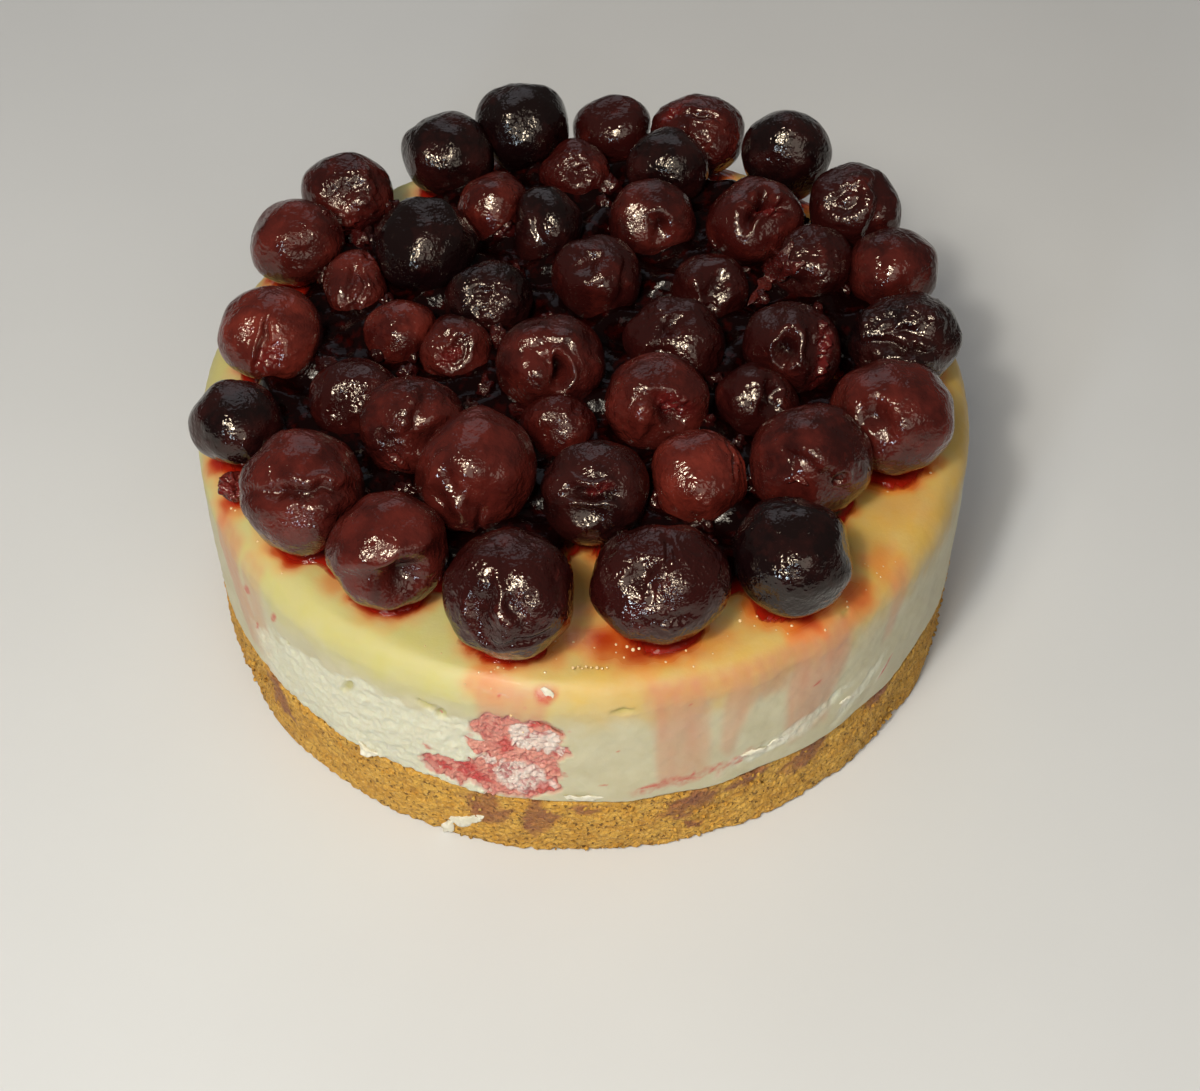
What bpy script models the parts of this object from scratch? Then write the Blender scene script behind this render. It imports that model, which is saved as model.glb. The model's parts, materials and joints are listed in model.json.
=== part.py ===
"""A round cherry cheesecake, whole: a biscuit base, a set cream filling with rounded shoulders, and a
layer of soft cooked cherries that lean on each other.

Units are metres, +Z is up, and the origin is the middle of the base's underside. The front of the cake, where
its side shows best, faces -Y.
"""

import math
import random

import bmesh
import bpy
from mathutils import Euler, Matrix, Vector, noise

MM = 0.001

# Driving dimensions of the cake
CAKE_RADIUS = 76 * MM
CAKE_HEIGHT = 50 * MM
BASE_HEIGHT = 16.5 * MM
SHOULDER_RADIUS = 6 * MM
WORN_EDGE = 1.2 * MM
FOOT_BEVEL = 0.5 * MM
TOUCH_GAP = 0.3 * MM

# How uneven the baked side and the crumbly base are
FILLING_UNEVEN = 0.5 * MM
BASE_UNEVEN = 0.7 * MM
UNEVEN_SCALE = 11 * MM
UNEVEN_FADE = 8
SIDE_SEGMENTS = 108
SIDE_RINGS = 6
SHOULDER_RINGS = 4

# How a soft cherry settles: the cells along each side of its cube, how softly a plane presses, its waves and
# its hollow. Its upper half is at most TALLEST_ABOVE of its half width, times SETTLED_HEIGHT
CHERRY_CELLS = 4
PRESS_SOFTNESS = 0.7 * MM
CHERRY_UNEVEN = 0.035
WAVE_COUNT = 4
WAVE_FREQUENCY = 3
HOLLOW_DEPTH = 0.2
HOLLOW_WIDTH = math.radians(32)
SETTLED_HEIGHT = 0.9
TALLEST_ABOVE = 1.05

# How far out a cherry's middle may lie, how near another must be to press on it, and the least cosine
# between a direction and a plane's outward one at which that plane still limits the cherry
FARTHEST_MIDDLE = 71 * MM
NEIGHBOUR_DISTANCE = 30 * MM
LEAST_FACING = 0.05

# The view of the photograph, 1200 by 1091 pixels, through which the cherries' places were read
PHOTO_MIDDLE = (600, 545.5)
PHOTO_FOCUS = 2155
VIEW_ELEVATION = math.radians(49.4)
VIEW_ROLL = math.radians(-0.5)
VIEW_DISTANCE = 445 * MM
VIEW_TARGET = Vector((3 * MM, -9 * MM, 12.3 * MM))

# Each cherry: the pixel of its middle, its width in mm, its height as a share of its width, how many mm
# higher than at rest its middle stands, its tone, and where its hollow faces, as seen: right and up from its
# middle in shares of its half width, or None where it shows no hollow
CHERRIES = (
    (236, 424, 17.4, 1.00, 0.0, "dark", None),
    (303, 492, 22.0, 1.08, 0.5, "red", (-0.30, 0.00)),
    (388, 552, 21.4, 1.02, 0.0, "red", (0.35, -0.45)),
    (508, 596, 23.4, 1.02, 0.0, "red", (-0.35, -0.30)),
    (660, 584, 25.0, 0.88, 0.0, "red", (-0.35, 0.10)),
    (793, 555, 20.6, 1.12, 0.5, "dark", None),
    (812, 460, 23.2, 0.95, 1.0, "red", (0.60, -0.45)),
    (893, 417, 23.2, 1.00, 0.0, "red", (-0.35, -0.35)),
    (700, 476, 18.0, 1.04, 0.0, "ruby", (0.55, 0.35)),
    (596, 494, 20.0, 1.02, 0.0, "dark", (-0.05, -0.20)),
    (477, 472, 22.0, 1.12, 1.0, "red", (0.35, -0.75)),
    (657, 404, 20.0, 0.98, 0.5, "red", (0.35, -0.45)),
    (560, 428, 15.0, 0.95, 0.0, "ruby", (-0.20, -0.20)),
    (550, 365, 21.4, 0.94, 0.5, "red", (0.25, -0.10)),
    (457, 350, 14.8, 0.97, 0.0, "red", (0.05, 0.05)),
    (401, 334, 15.2, 0.95, 0.0, "ruby", None),
    (356, 402, 18.4, 0.95, 0.0, "red", (-0.10, -0.45)),
    (412, 424, 19.8, 0.95, 3.0, "red", (-0.25, -0.40)),
    (272, 335, 20.8, 0.95, 0.0, "ruby", (-0.15, -0.05)),
    (297, 243, 19.0, 1.00, 0.0, "red", None),
    (356, 284, 12.8, 1.35, 0.5, "red", (0.00, 0.00)),
    (348, 193, 19.2, 0.92, 1.0, "red", (0.05, -0.10)),
    (424, 246, 21.4, 0.96, 1.5, "dark", None),
    (449, 153, 19.8, 0.92, 1.0, "dark", None),
    (520, 125, 21.0, 0.90, 2.0, "dark", None),
    (496, 213, 16.0, 1.05, 0.0, "ruby", (0.10, -0.70)),
    (546, 224, 14.8, 1.16, 2.0, "dark", (-0.60, -0.20)),
    (488, 302, 17.4, 0.95, 0.0, "dark", (-0.10, 0.00)),
    (576, 174, 15.4, 0.94, 0.0, "ruby", (0.10, 0.10)),
    (613, 128, 17.0, 0.88, 1.0, "red", (-0.20, 0.30)),
    (697, 136, 20.6, 0.90, 0.5, "ruby", (-0.20, 0.30)),
    (668, 167, 17.8, 0.92, 2.5, "dark", None),
    (791, 144, 18.4, 0.94, 4.5, "dark", (-0.40, -0.40)),
    (653, 219, 18.8, 0.92, 0.0, "red", (0.20, -0.35)),
    (757, 222, 20.8, 0.92, 1.0, "ruby", (0.10, 0.15)),
    (854, 207, 19.4, 0.92, 2.0, "red", (-0.25, 0.00)),
    (892, 269, 18.8, 0.94, 1.0, "red", None),
    (813, 264, 17.4, 0.95, 1.0, "red", (-0.60, -0.20)),
    (597, 276, 18.4, 0.98, 1.0, "red", (-0.15, 0.45)),
    (711, 290, 15.2, 1.05, 0.0, "red", (0.00, 0.00)),
    (676, 345, 20.0, 0.94, 0.0, "red", (-0.40, 0.20)),
    (792, 350, 20.0, 0.94, 0.5, "red", (0.60, -0.10)),
    (905, 340, 21.2, 0.92, 0.5, "dark", (-0.20, 0.10)),
    (757, 401, 16.0, 0.98, 0.0, "red", (0.30, 0.00)),
    (230, 487, 6.0, 1.10, 0.0, "ruby", None),
)

# Linear colours and roughnesses
TONES = {"dark": (0.020, 0.004, 0.006), "red": (0.075, 0.008, 0.008), "ruby": (0.150, 0.012, 0.010)}
BISCUIT_COLOUR = (0.42, 0.24, 0.09)
CREAM_COLOUR = (0.80, 0.74, 0.50)
BISCUIT_ROUGHNESS = 0.9
CREAM_ROUGHNESS = 0.5
CHERRY_ROUGHNESS = 0.25


def material(name, colour, roughness):
    """A finish with one colour, linear red, green and blue, and one roughness."""
    made = bpy.data.materials.new(name)
    made.use_nodes = True
    shader = made.node_tree.nodes["Principled BSDF"]
    shader.inputs["Base Color"].default_value = (*colour, 1)
    shader.inputs["Roughness"].default_value = roughness
    shader.inputs["Metallic"].default_value = 0.0
    return made


def object_from(mesh_builder, name, finish):
    """A smooth-shaded object made from a bmesh, which is used up."""
    bmesh.ops.recalc_face_normals(mesh_builder, faces=mesh_builder.faces)
    mesh = bpy.data.meshes.new(name)
    mesh_builder.to_mesh(mesh)
    mesh_builder.free()
    mesh.shade_smooth()
    mesh.materials.append(finish)
    made = bpy.data.objects.new(name, mesh)
    bpy.context.scene.collection.objects.link(made)
    return made


def turned(profile, uneven):
    """A closed solid of revolution. The profile is (radius, height) pairs from the underside's middle to the
    top's middle, both on the axis. Its round wall is pushed out and in by noise, by up to uneven metres. The
    push fades as a power of the radius, so that the flat faces stay flat and true near the axis."""
    builder = bmesh.new()
    poles = [builder.verts.new((0, 0, profile[end][1])) for end in (0, -1)]
    rings = []
    for radius, height in profile[1:-1]:
        ring = []
        for step in range(SIDE_SEGMENTS):
            angle = 2 * math.pi * step / SIDE_SEGMENTS
            outward = Vector((math.cos(angle), math.sin(angle), 0))
            place = outward * CAKE_RADIUS + Vector((0, 0, height))
            bump = noise.noise(place / UNEVEN_SCALE) * uneven * (radius / CAKE_RADIUS) ** UNEVEN_FADE
            ring.append(builder.verts.new(outward * (radius + bump) + Vector((0, 0, height))))
        rings.append(ring)
    for low, high in zip(rings, rings[1:]):
        for a in range(SIDE_SEGMENTS):
            b = (a + 1) % SIDE_SEGMENTS
            builder.faces.new((low[a], low[b], high[b], high[a]))
    for pole, ring in zip(poles, (rings[0], rings[-1])):
        for a in range(SIDE_SEGMENTS):
            builder.faces.new((pole, ring[a], ring[(a + 1) % SIDE_SEGMENTS]))
    bmesh.ops.triangulate(builder, faces=builder.faces)
    return builder


def base():
    """The biscuit base: a thick disc with a worn lower edge and a crumbly side."""
    profile = [(0, 0), (CAKE_RADIUS - WORN_EDGE, 0)]
    for step in range(SIDE_RINGS):
        share = step / (SIDE_RINGS - 1)
        profile.append((CAKE_RADIUS, WORN_EDGE / 2 + (BASE_HEIGHT - WORN_EDGE) * share))
    profile += [(CAKE_RADIUS - WORN_EDGE / 2, BASE_HEIGHT), (0, BASE_HEIGHT)]
    finish = material("biscuit", BISCUIT_COLOUR, BISCUIT_ROUGHNESS)
    return object_from(turned(profile, BASE_UNEVEN), "base", finish)


def filling():
    """The set cream: a straight side, a quarter-round shoulder and a level top."""
    foot = BASE_HEIGHT + TOUCH_GAP
    side_top = CAKE_HEIGHT - SHOULDER_RADIUS
    side_foot = foot + FOOT_BEVEL
    profile = [(0, foot), (CAKE_RADIUS - FOOT_BEVEL, foot)]
    for step in range(SIDE_RINGS):
        share = step / (SIDE_RINGS - 1)
        profile.append((CAKE_RADIUS, side_foot + (side_top - side_foot) * share))
    for step in range(1, SHOULDER_RINGS + 1):
        turn = math.pi / 2 * step / SHOULDER_RINGS
        profile.append(
            (
                CAKE_RADIUS - SHOULDER_RADIUS * (1 - math.cos(turn)),
                side_top + SHOULDER_RADIUS * math.sin(turn),
            )
        )
    profile.append((0, CAKE_HEIGHT))
    finish = material("cream", CREAM_COLOUR, CREAM_ROUGHNESS)
    return object_from(turned(profile, FILLING_UNEVEN), "filling", finish)


def view_turn():
    """The rotation from the photograph's right, up and towards-the-viewer axes to the cake's axes."""
    tilt = Euler((math.pi / 2 - VIEW_ELEVATION, 0, 0)).to_matrix()
    return tilt @ Matrix.Rotation(VIEW_ROLL, 3, "Z")


def seen_at(pixel_x, pixel_y, height):
    """The point at that height on the line of sight through a pixel of the photograph."""
    turn = view_turn()
    eye = VIEW_TARGET + turn @ Vector((0, 0, VIEW_DISTANCE))
    sight = turn @ Vector((pixel_x - PHOTO_MIDDLE[0], PHOTO_MIDDLE[1] - pixel_y, -PHOTO_FOCUS))
    return eye + sight * ((height - eye.z) / sight.z)


class Cherry:
    """One cherry's place, half sizes and the direction that its hollow faces."""

    def __init__(self, index, row):
        pixel_x, pixel_y, width, tallness, lift, tone, hollow = row
        half = width * MM / 2
        self.name = f"cherry_{index + 1:02d}"
        self.tone = tone
        self.above = half * min(tallness, TALLEST_ABOVE) * SETTLED_HEIGHT
        self.below = self.above + lift * MM
        self.half = (half, half * tallness)
        height = CAKE_HEIGHT + TOUCH_GAP + self.below
        middle = seen_at(pixel_x, pixel_y, height)
        reach = math.hypot(middle.x, middle.y)
        inwards = min(1, FARTHEST_MIDDLE / reach)
        self.middle = Vector((middle.x * inwards, middle.y * inwards, height))
        self.hollow = None
        if hollow:
            towards = math.sqrt(max(0, 1 - hollow[0] ** 2 - hollow[1] ** 2))
            self.hollow = view_turn() @ Vector((*hollow, towards))
        draw = random.Random(index)
        self.waves = [
            (Vector([draw.gauss(0, 1) for _ in range(3)]).normalized(), draw.uniform(0, 2 * math.pi))
            for _ in range(WAVE_COUNT)
        ]

    def reach(self, direction):
        """How far the cherry would reach from its middle in a direction if nothing pressed on it."""
        tall = self.above if direction.z > 0 else self.below
        a, b = self.half
        free = 1 / math.sqrt((direction.x / a) ** 2 + (direction.y / b) ** 2 + (direction.z / tall) ** 2)
        bumps = sum(math.cos(WAVE_FREQUENCY * direction.dot(axis) + phase) for axis, phase in self.waves)
        free *= 1 + CHERRY_UNEVEN * bumps / math.sqrt(WAVE_COUNT)
        if self.hollow:
            free *= 1 - HOLLOW_DEPTH * math.exp(-((direction.angle(self.hollow) / HOLLOW_WIDTH) ** 2))
        return free


def pressing_planes(cherry, cherries):
    """What presses on a cherry: for each plane, its outward direction and its distance from the middle. The
    cake's top is one. Between two cherries that would overlap there is a plane across the line between their
    middles, and each keeps half the gap to it."""
    planes = [(Vector((0, 0, -1)), cherry.middle.z - CAKE_HEIGHT - TOUCH_GAP)]
    for other in cherries:
        apart = other.middle - cherry.middle
        if other is cherry or apart.length > NEIGHBOUR_DISTANCE:
            continue
        across = apart.normalized()
        mine, theirs = cherry.reach(across), other.reach(-across)
        planes.append((across, apart.length * mine / (mine + theirs) - TOUCH_GAP / 2))
    return planes


def settled(cherry, planes):
    """The cherry as a cube whose corners and cuts are moved out to its surface. In each direction the surface
    is a softened least of its free reach and of the distance to each plane that presses on it."""
    builder = bmesh.new()
    bmesh.ops.create_cube(builder, size=2)
    bmesh.ops.subdivide_edges(
        builder, edges=builder.edges[:], cuts=CHERRY_CELLS - 1, use_grid_fill=True
    )
    for vert in builder.verts:
        even = Vector([math.tan(side * math.pi / 4) for side in vert.co])
        direction = even.normalized()
        lengths = [cherry.reach(direction)]
        for outward, distance in planes:
            facing = direction.dot(outward)
            if facing > LEAST_FACING:
                lengths.append(distance / facing)
        least = min(lengths)
        softened = sum(math.exp((least - length) / PRESS_SOFTNESS) for length in lengths)
        vert.co = cherry.middle + direction * (least - PRESS_SOFTNESS * math.log(softened))
    bmesh.ops.triangulate(builder, faces=builder.faces)
    return builder


def main():
    for old in list(bpy.data.objects):
        bpy.data.objects.remove(old)
    base()
    filling()
    finishes = {
        tone: material(f"cherry_{tone}", colour, CHERRY_ROUGHNESS) for tone, colour in TONES.items()
    }
    cherries = [Cherry(index, row) for index, row in enumerate(CHERRIES)]
    for cherry in cherries:
        planes = pressing_planes(cherry, cherries)
        object_from(settled(cherry, planes), cherry.name, finishes[cherry.tone])


main()
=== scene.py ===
# %% [markdown]
# # A whole cherry cheesecake, dressed over its packed solids
# The packed model gives plain solids for the crumb base, the cream filling and each cherry. Here each one
# gets its fine surface and its finish, in the same place. Nothing is fitted by eye to the picture's plane:
# every piece lies on the solid that it stands for.

# %% Load the packed model
import json
import math

import bpy
import numpy as np
from mathutils import Matrix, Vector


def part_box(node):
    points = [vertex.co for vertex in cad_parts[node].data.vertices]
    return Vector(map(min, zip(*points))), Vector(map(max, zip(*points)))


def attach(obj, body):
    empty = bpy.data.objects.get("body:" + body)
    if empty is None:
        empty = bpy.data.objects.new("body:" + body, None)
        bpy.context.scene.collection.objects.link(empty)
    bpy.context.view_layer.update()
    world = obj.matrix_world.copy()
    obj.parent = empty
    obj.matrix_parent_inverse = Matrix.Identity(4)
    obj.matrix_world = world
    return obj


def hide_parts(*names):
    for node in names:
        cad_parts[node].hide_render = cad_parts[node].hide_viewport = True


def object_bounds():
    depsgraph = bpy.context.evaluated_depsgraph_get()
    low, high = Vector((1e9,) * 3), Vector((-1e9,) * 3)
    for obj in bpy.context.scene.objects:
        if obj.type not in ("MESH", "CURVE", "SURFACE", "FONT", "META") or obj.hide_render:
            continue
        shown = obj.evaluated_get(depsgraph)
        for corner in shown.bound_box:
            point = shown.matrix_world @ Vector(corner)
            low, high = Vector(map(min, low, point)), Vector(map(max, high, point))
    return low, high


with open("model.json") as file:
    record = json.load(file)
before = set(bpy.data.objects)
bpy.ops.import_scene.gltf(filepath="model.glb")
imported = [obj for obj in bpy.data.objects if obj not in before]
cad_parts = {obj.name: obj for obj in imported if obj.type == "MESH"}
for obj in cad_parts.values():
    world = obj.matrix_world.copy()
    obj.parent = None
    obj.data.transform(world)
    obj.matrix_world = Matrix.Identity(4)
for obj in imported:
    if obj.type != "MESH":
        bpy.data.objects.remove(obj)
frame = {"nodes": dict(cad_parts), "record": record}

MM = 0.001
cad_low, cad_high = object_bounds()
print("solids", len(frame["nodes"]), "box in mm", [round(side / MM, 1) for side in cad_high - cad_low])

# %% [markdown]
# ## The camera
# The photograph looks down on the front of the cake at about half a right angle. A camera could be aimed by
# eye, but here its height, distance and focal length were worked out from the outlines of the cake's round
# rims, so that a pixel of the photograph can be carried to the surface that it shows.

# %% Camera at the photograph's view
PHOTO_SIZE = (1200, 1091)
PHOTO_FOCUS = 2155
VIEW_ELEVATION = math.radians(49.4)
VIEW_ROLL = math.radians(-0.5)
VIEW_DISTANCE = 445 * MM
VIEW_TARGET = np.array((3.0, -9.0, 12.3)) * MM
SENSOR = 36.0

view_turn = Matrix.Rotation(math.pi / 2 - VIEW_ELEVATION, 3, "X") @ Matrix.Rotation(VIEW_ROLL, 3, "Z")
VIEW = np.array(view_turn)
EYE = VIEW_TARGET + VIEW @ np.array((0, 0, VIEW_DISTANCE))

camera = bpy.data.objects.new("camera", bpy.data.cameras.new("camera"))
bpy.context.scene.collection.objects.link(camera)
camera.data.sensor_width = SENSOR
camera.data.lens = PHOTO_FOCUS / PHOTO_SIZE[0] * SENSOR
camera.data.clip_start = 10 * MM
camera.location = EYE
camera.rotation_euler = view_turn.to_euler()
bpy.context.scene.camera = camera
print("eye in mm", np.round(EYE / MM, 1), "lens", round(camera.data.lens, 2))

# %% [markdown]
# ## From a pixel to the cake
# Marks such as a drip or a dent are named by the pixel where the photograph shows them. A line of sight
# through that pixel meets the cake's side, its top or a cherry, and the mark is made there in real
# millimetres. From then on it belongs to the surface and stays put in every other view.

# %% Lines of sight
CAKE_RADIUS = 76 * MM
CAKE_HEIGHT = 50 * MM
BASE_HEIGHT = 16.5 * MM
SHOULDER_RADIUS = 6 * MM


def sight(pixel):
    """The unit vector from the eye through a pixel: its offsets right and up, and the focal length ahead."""
    ray = VIEW @ np.array((pixel[0] - PHOTO_SIZE[0] / 2, PHOTO_SIZE[1] / 2 - pixel[1], -PHOTO_FOCUS))
    return ray / np.linalg.norm(ray)


def side_point(pixel):
    """Where a pixel's line meets the cake's side or shoulder. It crosses upright cylinders from the side's
    own to that of the shoulder's upper end, and the first crossing that is not above the quarter-round
    shoulder is taken. A line that misses a cylinder is moved to its nearest point."""
    ray = sight(pixel)
    inward = np.linspace(0, SHOULDER_RADIUS, 61)
    a = ray[:2] @ ray[:2]
    b = EYE[:2] @ ray[:2]
    c = EYE[:2] @ EYE[:2] - (CAKE_RADIUS - inward) ** 2
    points = EYE + ray * ((-b - np.sqrt(np.maximum(0, b * b - a * c))) / a)[:, None]
    rise = np.sqrt(SHOULDER_RADIUS**2 - (SHOULDER_RADIUS - inward) ** 2)
    met = points[:, 2] <= CAKE_HEIGHT - SHOULDER_RADIUS + rise
    met[-1] = True
    return points[met.argmax()]


def on_side(pixel):
    """The same place as a distance along the side from the front, positive to the right, and a height."""
    point = side_point(pixel)
    return math.atan2(point[0], -point[1]) * CAKE_RADIUS, point[2]


def on_top(pixel):
    """Where a pixel's line meets the plane of the cake's top."""
    ray = sight(pixel)
    return EYE + ray * ((CAKE_HEIGHT - EYE[2]) / ray[2])


def on_ball(pixel, middle, radius):
    """The direction from a ball's middle to where a pixel's line first meets it, or to the edge nearest."""
    ray = sight(pixel)
    nearest = EYE + ray * ((middle - EYE) @ ray)
    inside = max(0.0, radius**2 - (nearest - middle) @ (nearest - middle))
    out = nearest - ray * math.sqrt(inside) - middle
    return out / np.linalg.norm(out)


print("front of the rim in mm", np.round(np.array(on_side((649, 845))) / MM, 1))

# %% [markdown]
# ## Unevenness
# Nothing on a cake is quite smooth or even. Unevenness could come from moving points at random, which gives
# spikes. Adding many cosine waves of random direction gives soft swells instead: they have no seams, and a
# seed makes them the same each time.

# %% Soft steps and waves


def smooth_step(low, high, value):
    """0 below low, 1 above high, and the curve 3t² - 2t³ between them."""
    t = np.clip((value - low) / (high - low), 0, 1)
    return t * t * (3 - 2 * t)


def waves(points, size, seed, count=20):
    """A random field with a variance of 1: the sum of cosines whose wavelengths are near size."""
    draw = np.random.default_rng(seed)
    toward = draw.normal(size=(count, 3))
    toward /= np.linalg.norm(toward, axis=1, keepdims=True)
    toward *= 2 * math.pi / (size * draw.uniform(0.7, 1.5, (count, 1)))
    phase = draw.uniform(0, 2 * math.pi, count)
    total = np.zeros(len(points))
    for direction, start in zip(toward, phase):
        total += np.cos(points @ direction + start)
    return total * math.sqrt(2 / count)


def rough(points, size, seed, octaves=3):
    """Waves of falling size added up: each next size is half as long and half as high."""
    return sum(waves(points, size / 2**k, seed + k) / 2**k for k in range(octaves))


print("a test field spans", np.round(np.ptp(waves(np.eye(3), 1.0, 1)), 2))

# %% [markdown]
# ## Surfaces from arrays
# Every piece is points on a grid. Points could be added one by one, but here they are worked out as whole
# arrays and put into the mesh in one go, which is quick and keeps each shape a formula. A number stored on
# each point, such as how stained it is, goes with the surface and tells the material what to show.

# %% A mesh piece and its fields


def mesh_piece(name, points, *face_arrays):
    """A smooth mesh object from an array of points and arrays of faces with three or four corners."""
    mesh = bpy.data.meshes.new(name)
    corners = np.concatenate([faces.ravel() for faces in face_arrays]).astype(np.int32)
    sizes = np.concatenate([np.full(len(faces), faces.shape[1]) for faces in face_arrays])
    starts = (np.cumsum(sizes) - sizes).astype(np.int32)
    mesh.vertices.add(len(points))
    mesh.vertices.foreach_set("co", points.astype(np.float32).ravel())
    mesh.loops.add(len(corners))
    mesh.loops.foreach_set("vertex_index", corners)
    mesh.polygons.add(len(sizes))
    mesh.polygons.foreach_set("loop_start", starts)
    mesh.update(calc_edges=True)
    mesh.validate()
    mesh.shade_smooth()
    piece = bpy.data.objects.new(name, mesh)
    bpy.context.scene.collection.objects.link(piece)
    return piece


def paint(piece, **fields):
    """Stores named numbers, one for each point, that the materials read."""
    for name, values in fields.items():
        made = piece.data.attributes.new(name, "FLOAT", "POINT")
        made.data.foreach_set("value", np.clip(values, 0, 1).astype(np.float32))


print("pieces are made by", mesh_piece.__name__, "and marked by", paint.__name__)

# %% [markdown]
# ## Turned surfaces
# The base, the cream and the pool of syrup are round, as turned wood is. Blender's Screw modifier could turn
# a profile, but a grid of rings keeps every point's place known, so it can be pushed and stained by formula.

# %% Turning a profile


def turned_faces(rows, columns):
    """Faces of a turned grid: quads between neighbouring rings, and a fan at each of its two poles. The
    lower pole is point 0, the rings follow, and the upper pole is the last point."""
    ring = np.arange(columns)
    after = np.roll(ring, -1)
    low = 1 + np.arange(rows - 1)[:, None] * columns
    quads = np.stack((low + ring, low + after, low + columns + after, low + columns + ring), -1)
    top = 1 + (rows - 1) * columns
    below = np.stack((np.zeros_like(ring), 1 + after, 1 + ring), -1)
    above = np.stack((np.full_like(ring, top + columns), top + ring, top + after), -1)
    return quads.reshape(-1, 4), np.concatenate((below, above))


def turned_points(profile, columns):
    """A profile of (radius, height) rows carried round the axis, with both of its ends on the axis."""
    angle = np.arange(columns) * 2 * math.pi / columns
    radius, height = np.array(profile[1:-1]).T
    x = radius[:, None] * np.sin(angle)
    y = -radius[:, None] * np.cos(angle)
    z = np.broadcast_to(height[:, None], x.shape)
    rings = np.stack((x, y, z), -1).reshape(-1, 3)
    return np.concatenate(([(0, 0, profile[0][1])], rings, [(0, 0, profile[-1][1])]))


def outwards(points):
    """Unit vectors away from the cake's axis, and zero on it."""
    flat = points * (1, 1, 0)
    return flat / np.maximum(np.linalg.norm(flat, axis=1, keepdims=True), 1e-9)


print("a ring of 8 and its two fans have", sum(len(group) for group in turned_faces(1, 8)), "faces")

# %% [markdown]
# ## Writing shader maths as Python
# A material is a small program drawn as nodes. Drawing it by hand gets hard to read, so a class wraps one
# socket and lets Python's own signs add the Math nodes. Colours go through a Mix node, because a Math node
# would turn them grey.

# %% A socket with arithmetic


class Wire:
    """One output socket. Adding to it, taking away or multiplying adds a Math node."""

    def __init__(self, finish, socket):
        self.finish = finish
        self.socket = socket

    def maths(self, operation, first, second, clamp=False):
        settings = {"operation": operation, "use_clamp": clamp}
        return self.finish.node("ShaderNodeMath", settings, {0: first, 1: second})

    def __add__(self, other):
        return self.maths("ADD", self, other)

    def __sub__(self, other):
        return self.maths("SUBTRACT", self, other)

    def __rsub__(self, other):
        return self.maths("SUBTRACT", other, self)

    def __mul__(self, other):
        return self.maths("MULTIPLY", self, other)

    __radd__ = __add__
    __rmul__ = __mul__

    def __abs__(self):
        return self.maths("ABSOLUTE", self, 0.0)

    def clipped(self):
        return self.maths("ADD", self, 0.0, clamp=True)

    def between(self, low, high):
        """0 below low, 1 above high, and smooth between them."""
        settings = {"interpolation_type": "SMOOTHSTEP"}
        sockets = {"Value": self, "From Min": low, "From Max": high}
        return self.finish.node("ShaderNodeMapRange", settings, sockets)


print("signs that add a node:", [sign for sign in dir(Wire) if sign.strip("_") in ("add", "sub", "mul")])

# %% A finish under construction


class Finish:
    """The nodes of a new material while they are made. Object coordinates place its patterns, in metres."""

    def __init__(self, name):
        self.take(bpy.data.materials.new(name), "Principled BSDF", "Object")

    def take(self, made, shader, coordinates):
        made.use_nodes = True
        self.made = made
        self.tree = made.node_tree
        self.shader = self.tree.nodes[shader]
        self.place = self.node("ShaderNodeTexCoord", {}, {}, coordinates)

    def node(self, kind, settings, sockets, output=0):
        """Adds a node: its settings first, then a value or a link for each of its sockets."""
        node = self.tree.nodes.new(kind)
        for name, value in settings.items():
            setattr(node, name, value)
        for key, value in sockets.items():
            self.join(node.inputs[key], value)
        return Wire(self, node.outputs[output])

    def join(self, socket, value):
        if isinstance(value, Wire):
            self.tree.links.new(value.socket, socket)
        else:
            socket.default_value = value

    def shade(self, sockets):
        """Sets or links the shader's own sockets, by name."""
        for name, value in sockets.items():
            self.join(self.shader.inputs[name], value)

    def mix(self, factor, first, second):
        settings = {"data_type": "RGBA"}
        return self.node("ShaderNodeMix", settings, {0: factor, 6: first, 7: second}, 2)

    def field(self, name):
        return self.node("ShaderNodeAttribute", {"attribute_name": name}, {}, "Fac")

    def noise(self, size, detail=3.0, roughness=0.5, distortion=0.0):
        sockets = {
            "Vector": self.place, "Scale": 1 / size, "Detail": detail,
            "Roughness": roughness, "Distortion": distortion,
        }
        return self.node("ShaderNodeTexNoise", {}, sockets)

    def creases(self, size, detail=2.0):
        """Sharp ridges where noise crosses its middle value: 1 on a ridge and falling to 0 on both sides."""
        return 1 - abs(self.noise(size, detail) - 0.5) * 3

    def bump(self, height, distance, strength=1.0):
        sockets = {"Height": height, "Distance": distance, "Strength": strength}
        return self.node("ShaderNodeBump", {}, sockets)


print("a finish can make", [name for name in vars(Finish) if not name.startswith("_")])

# %% Colours


def tint(red, green, blue):
    """A colour as it looks on a screen, 0 to 255, as the linear numbers that a shader takes."""
    parts = np.array((red, green, blue)) / 255
    linear = np.where(parts <= 0.04045, parts / 12.92, ((parts + 0.055) / 1.055) ** 2.4)
    return (*linear.tolist(), 1.0)


print("a mid grey is", round(tint(128, 128, 128)[0], 3), "in linear light")

# %% [markdown]
# ## Cherry skin
# Cooked cherries are wet, nearly black to ruby, and their skin is finely wrinkled, so highlights break up
# into crumpled foil. One colour and a gloss would look like glass beads. Here the wrinkles are a bump from
# stretched noise that comes and goes over the fruit, and thinner skin lets more red through.

# %% Cherry finishes
SKINS = {
    "cherry_dark": (tint(16, 5, 6), tint(52, 18, 16)),
    "cherry_red": (tint(42, 11, 10), tint(90, 31, 25)),
    "cherry_ruby": (tint(54, 14, 12), tint(110, 40, 31)),
}


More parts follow.
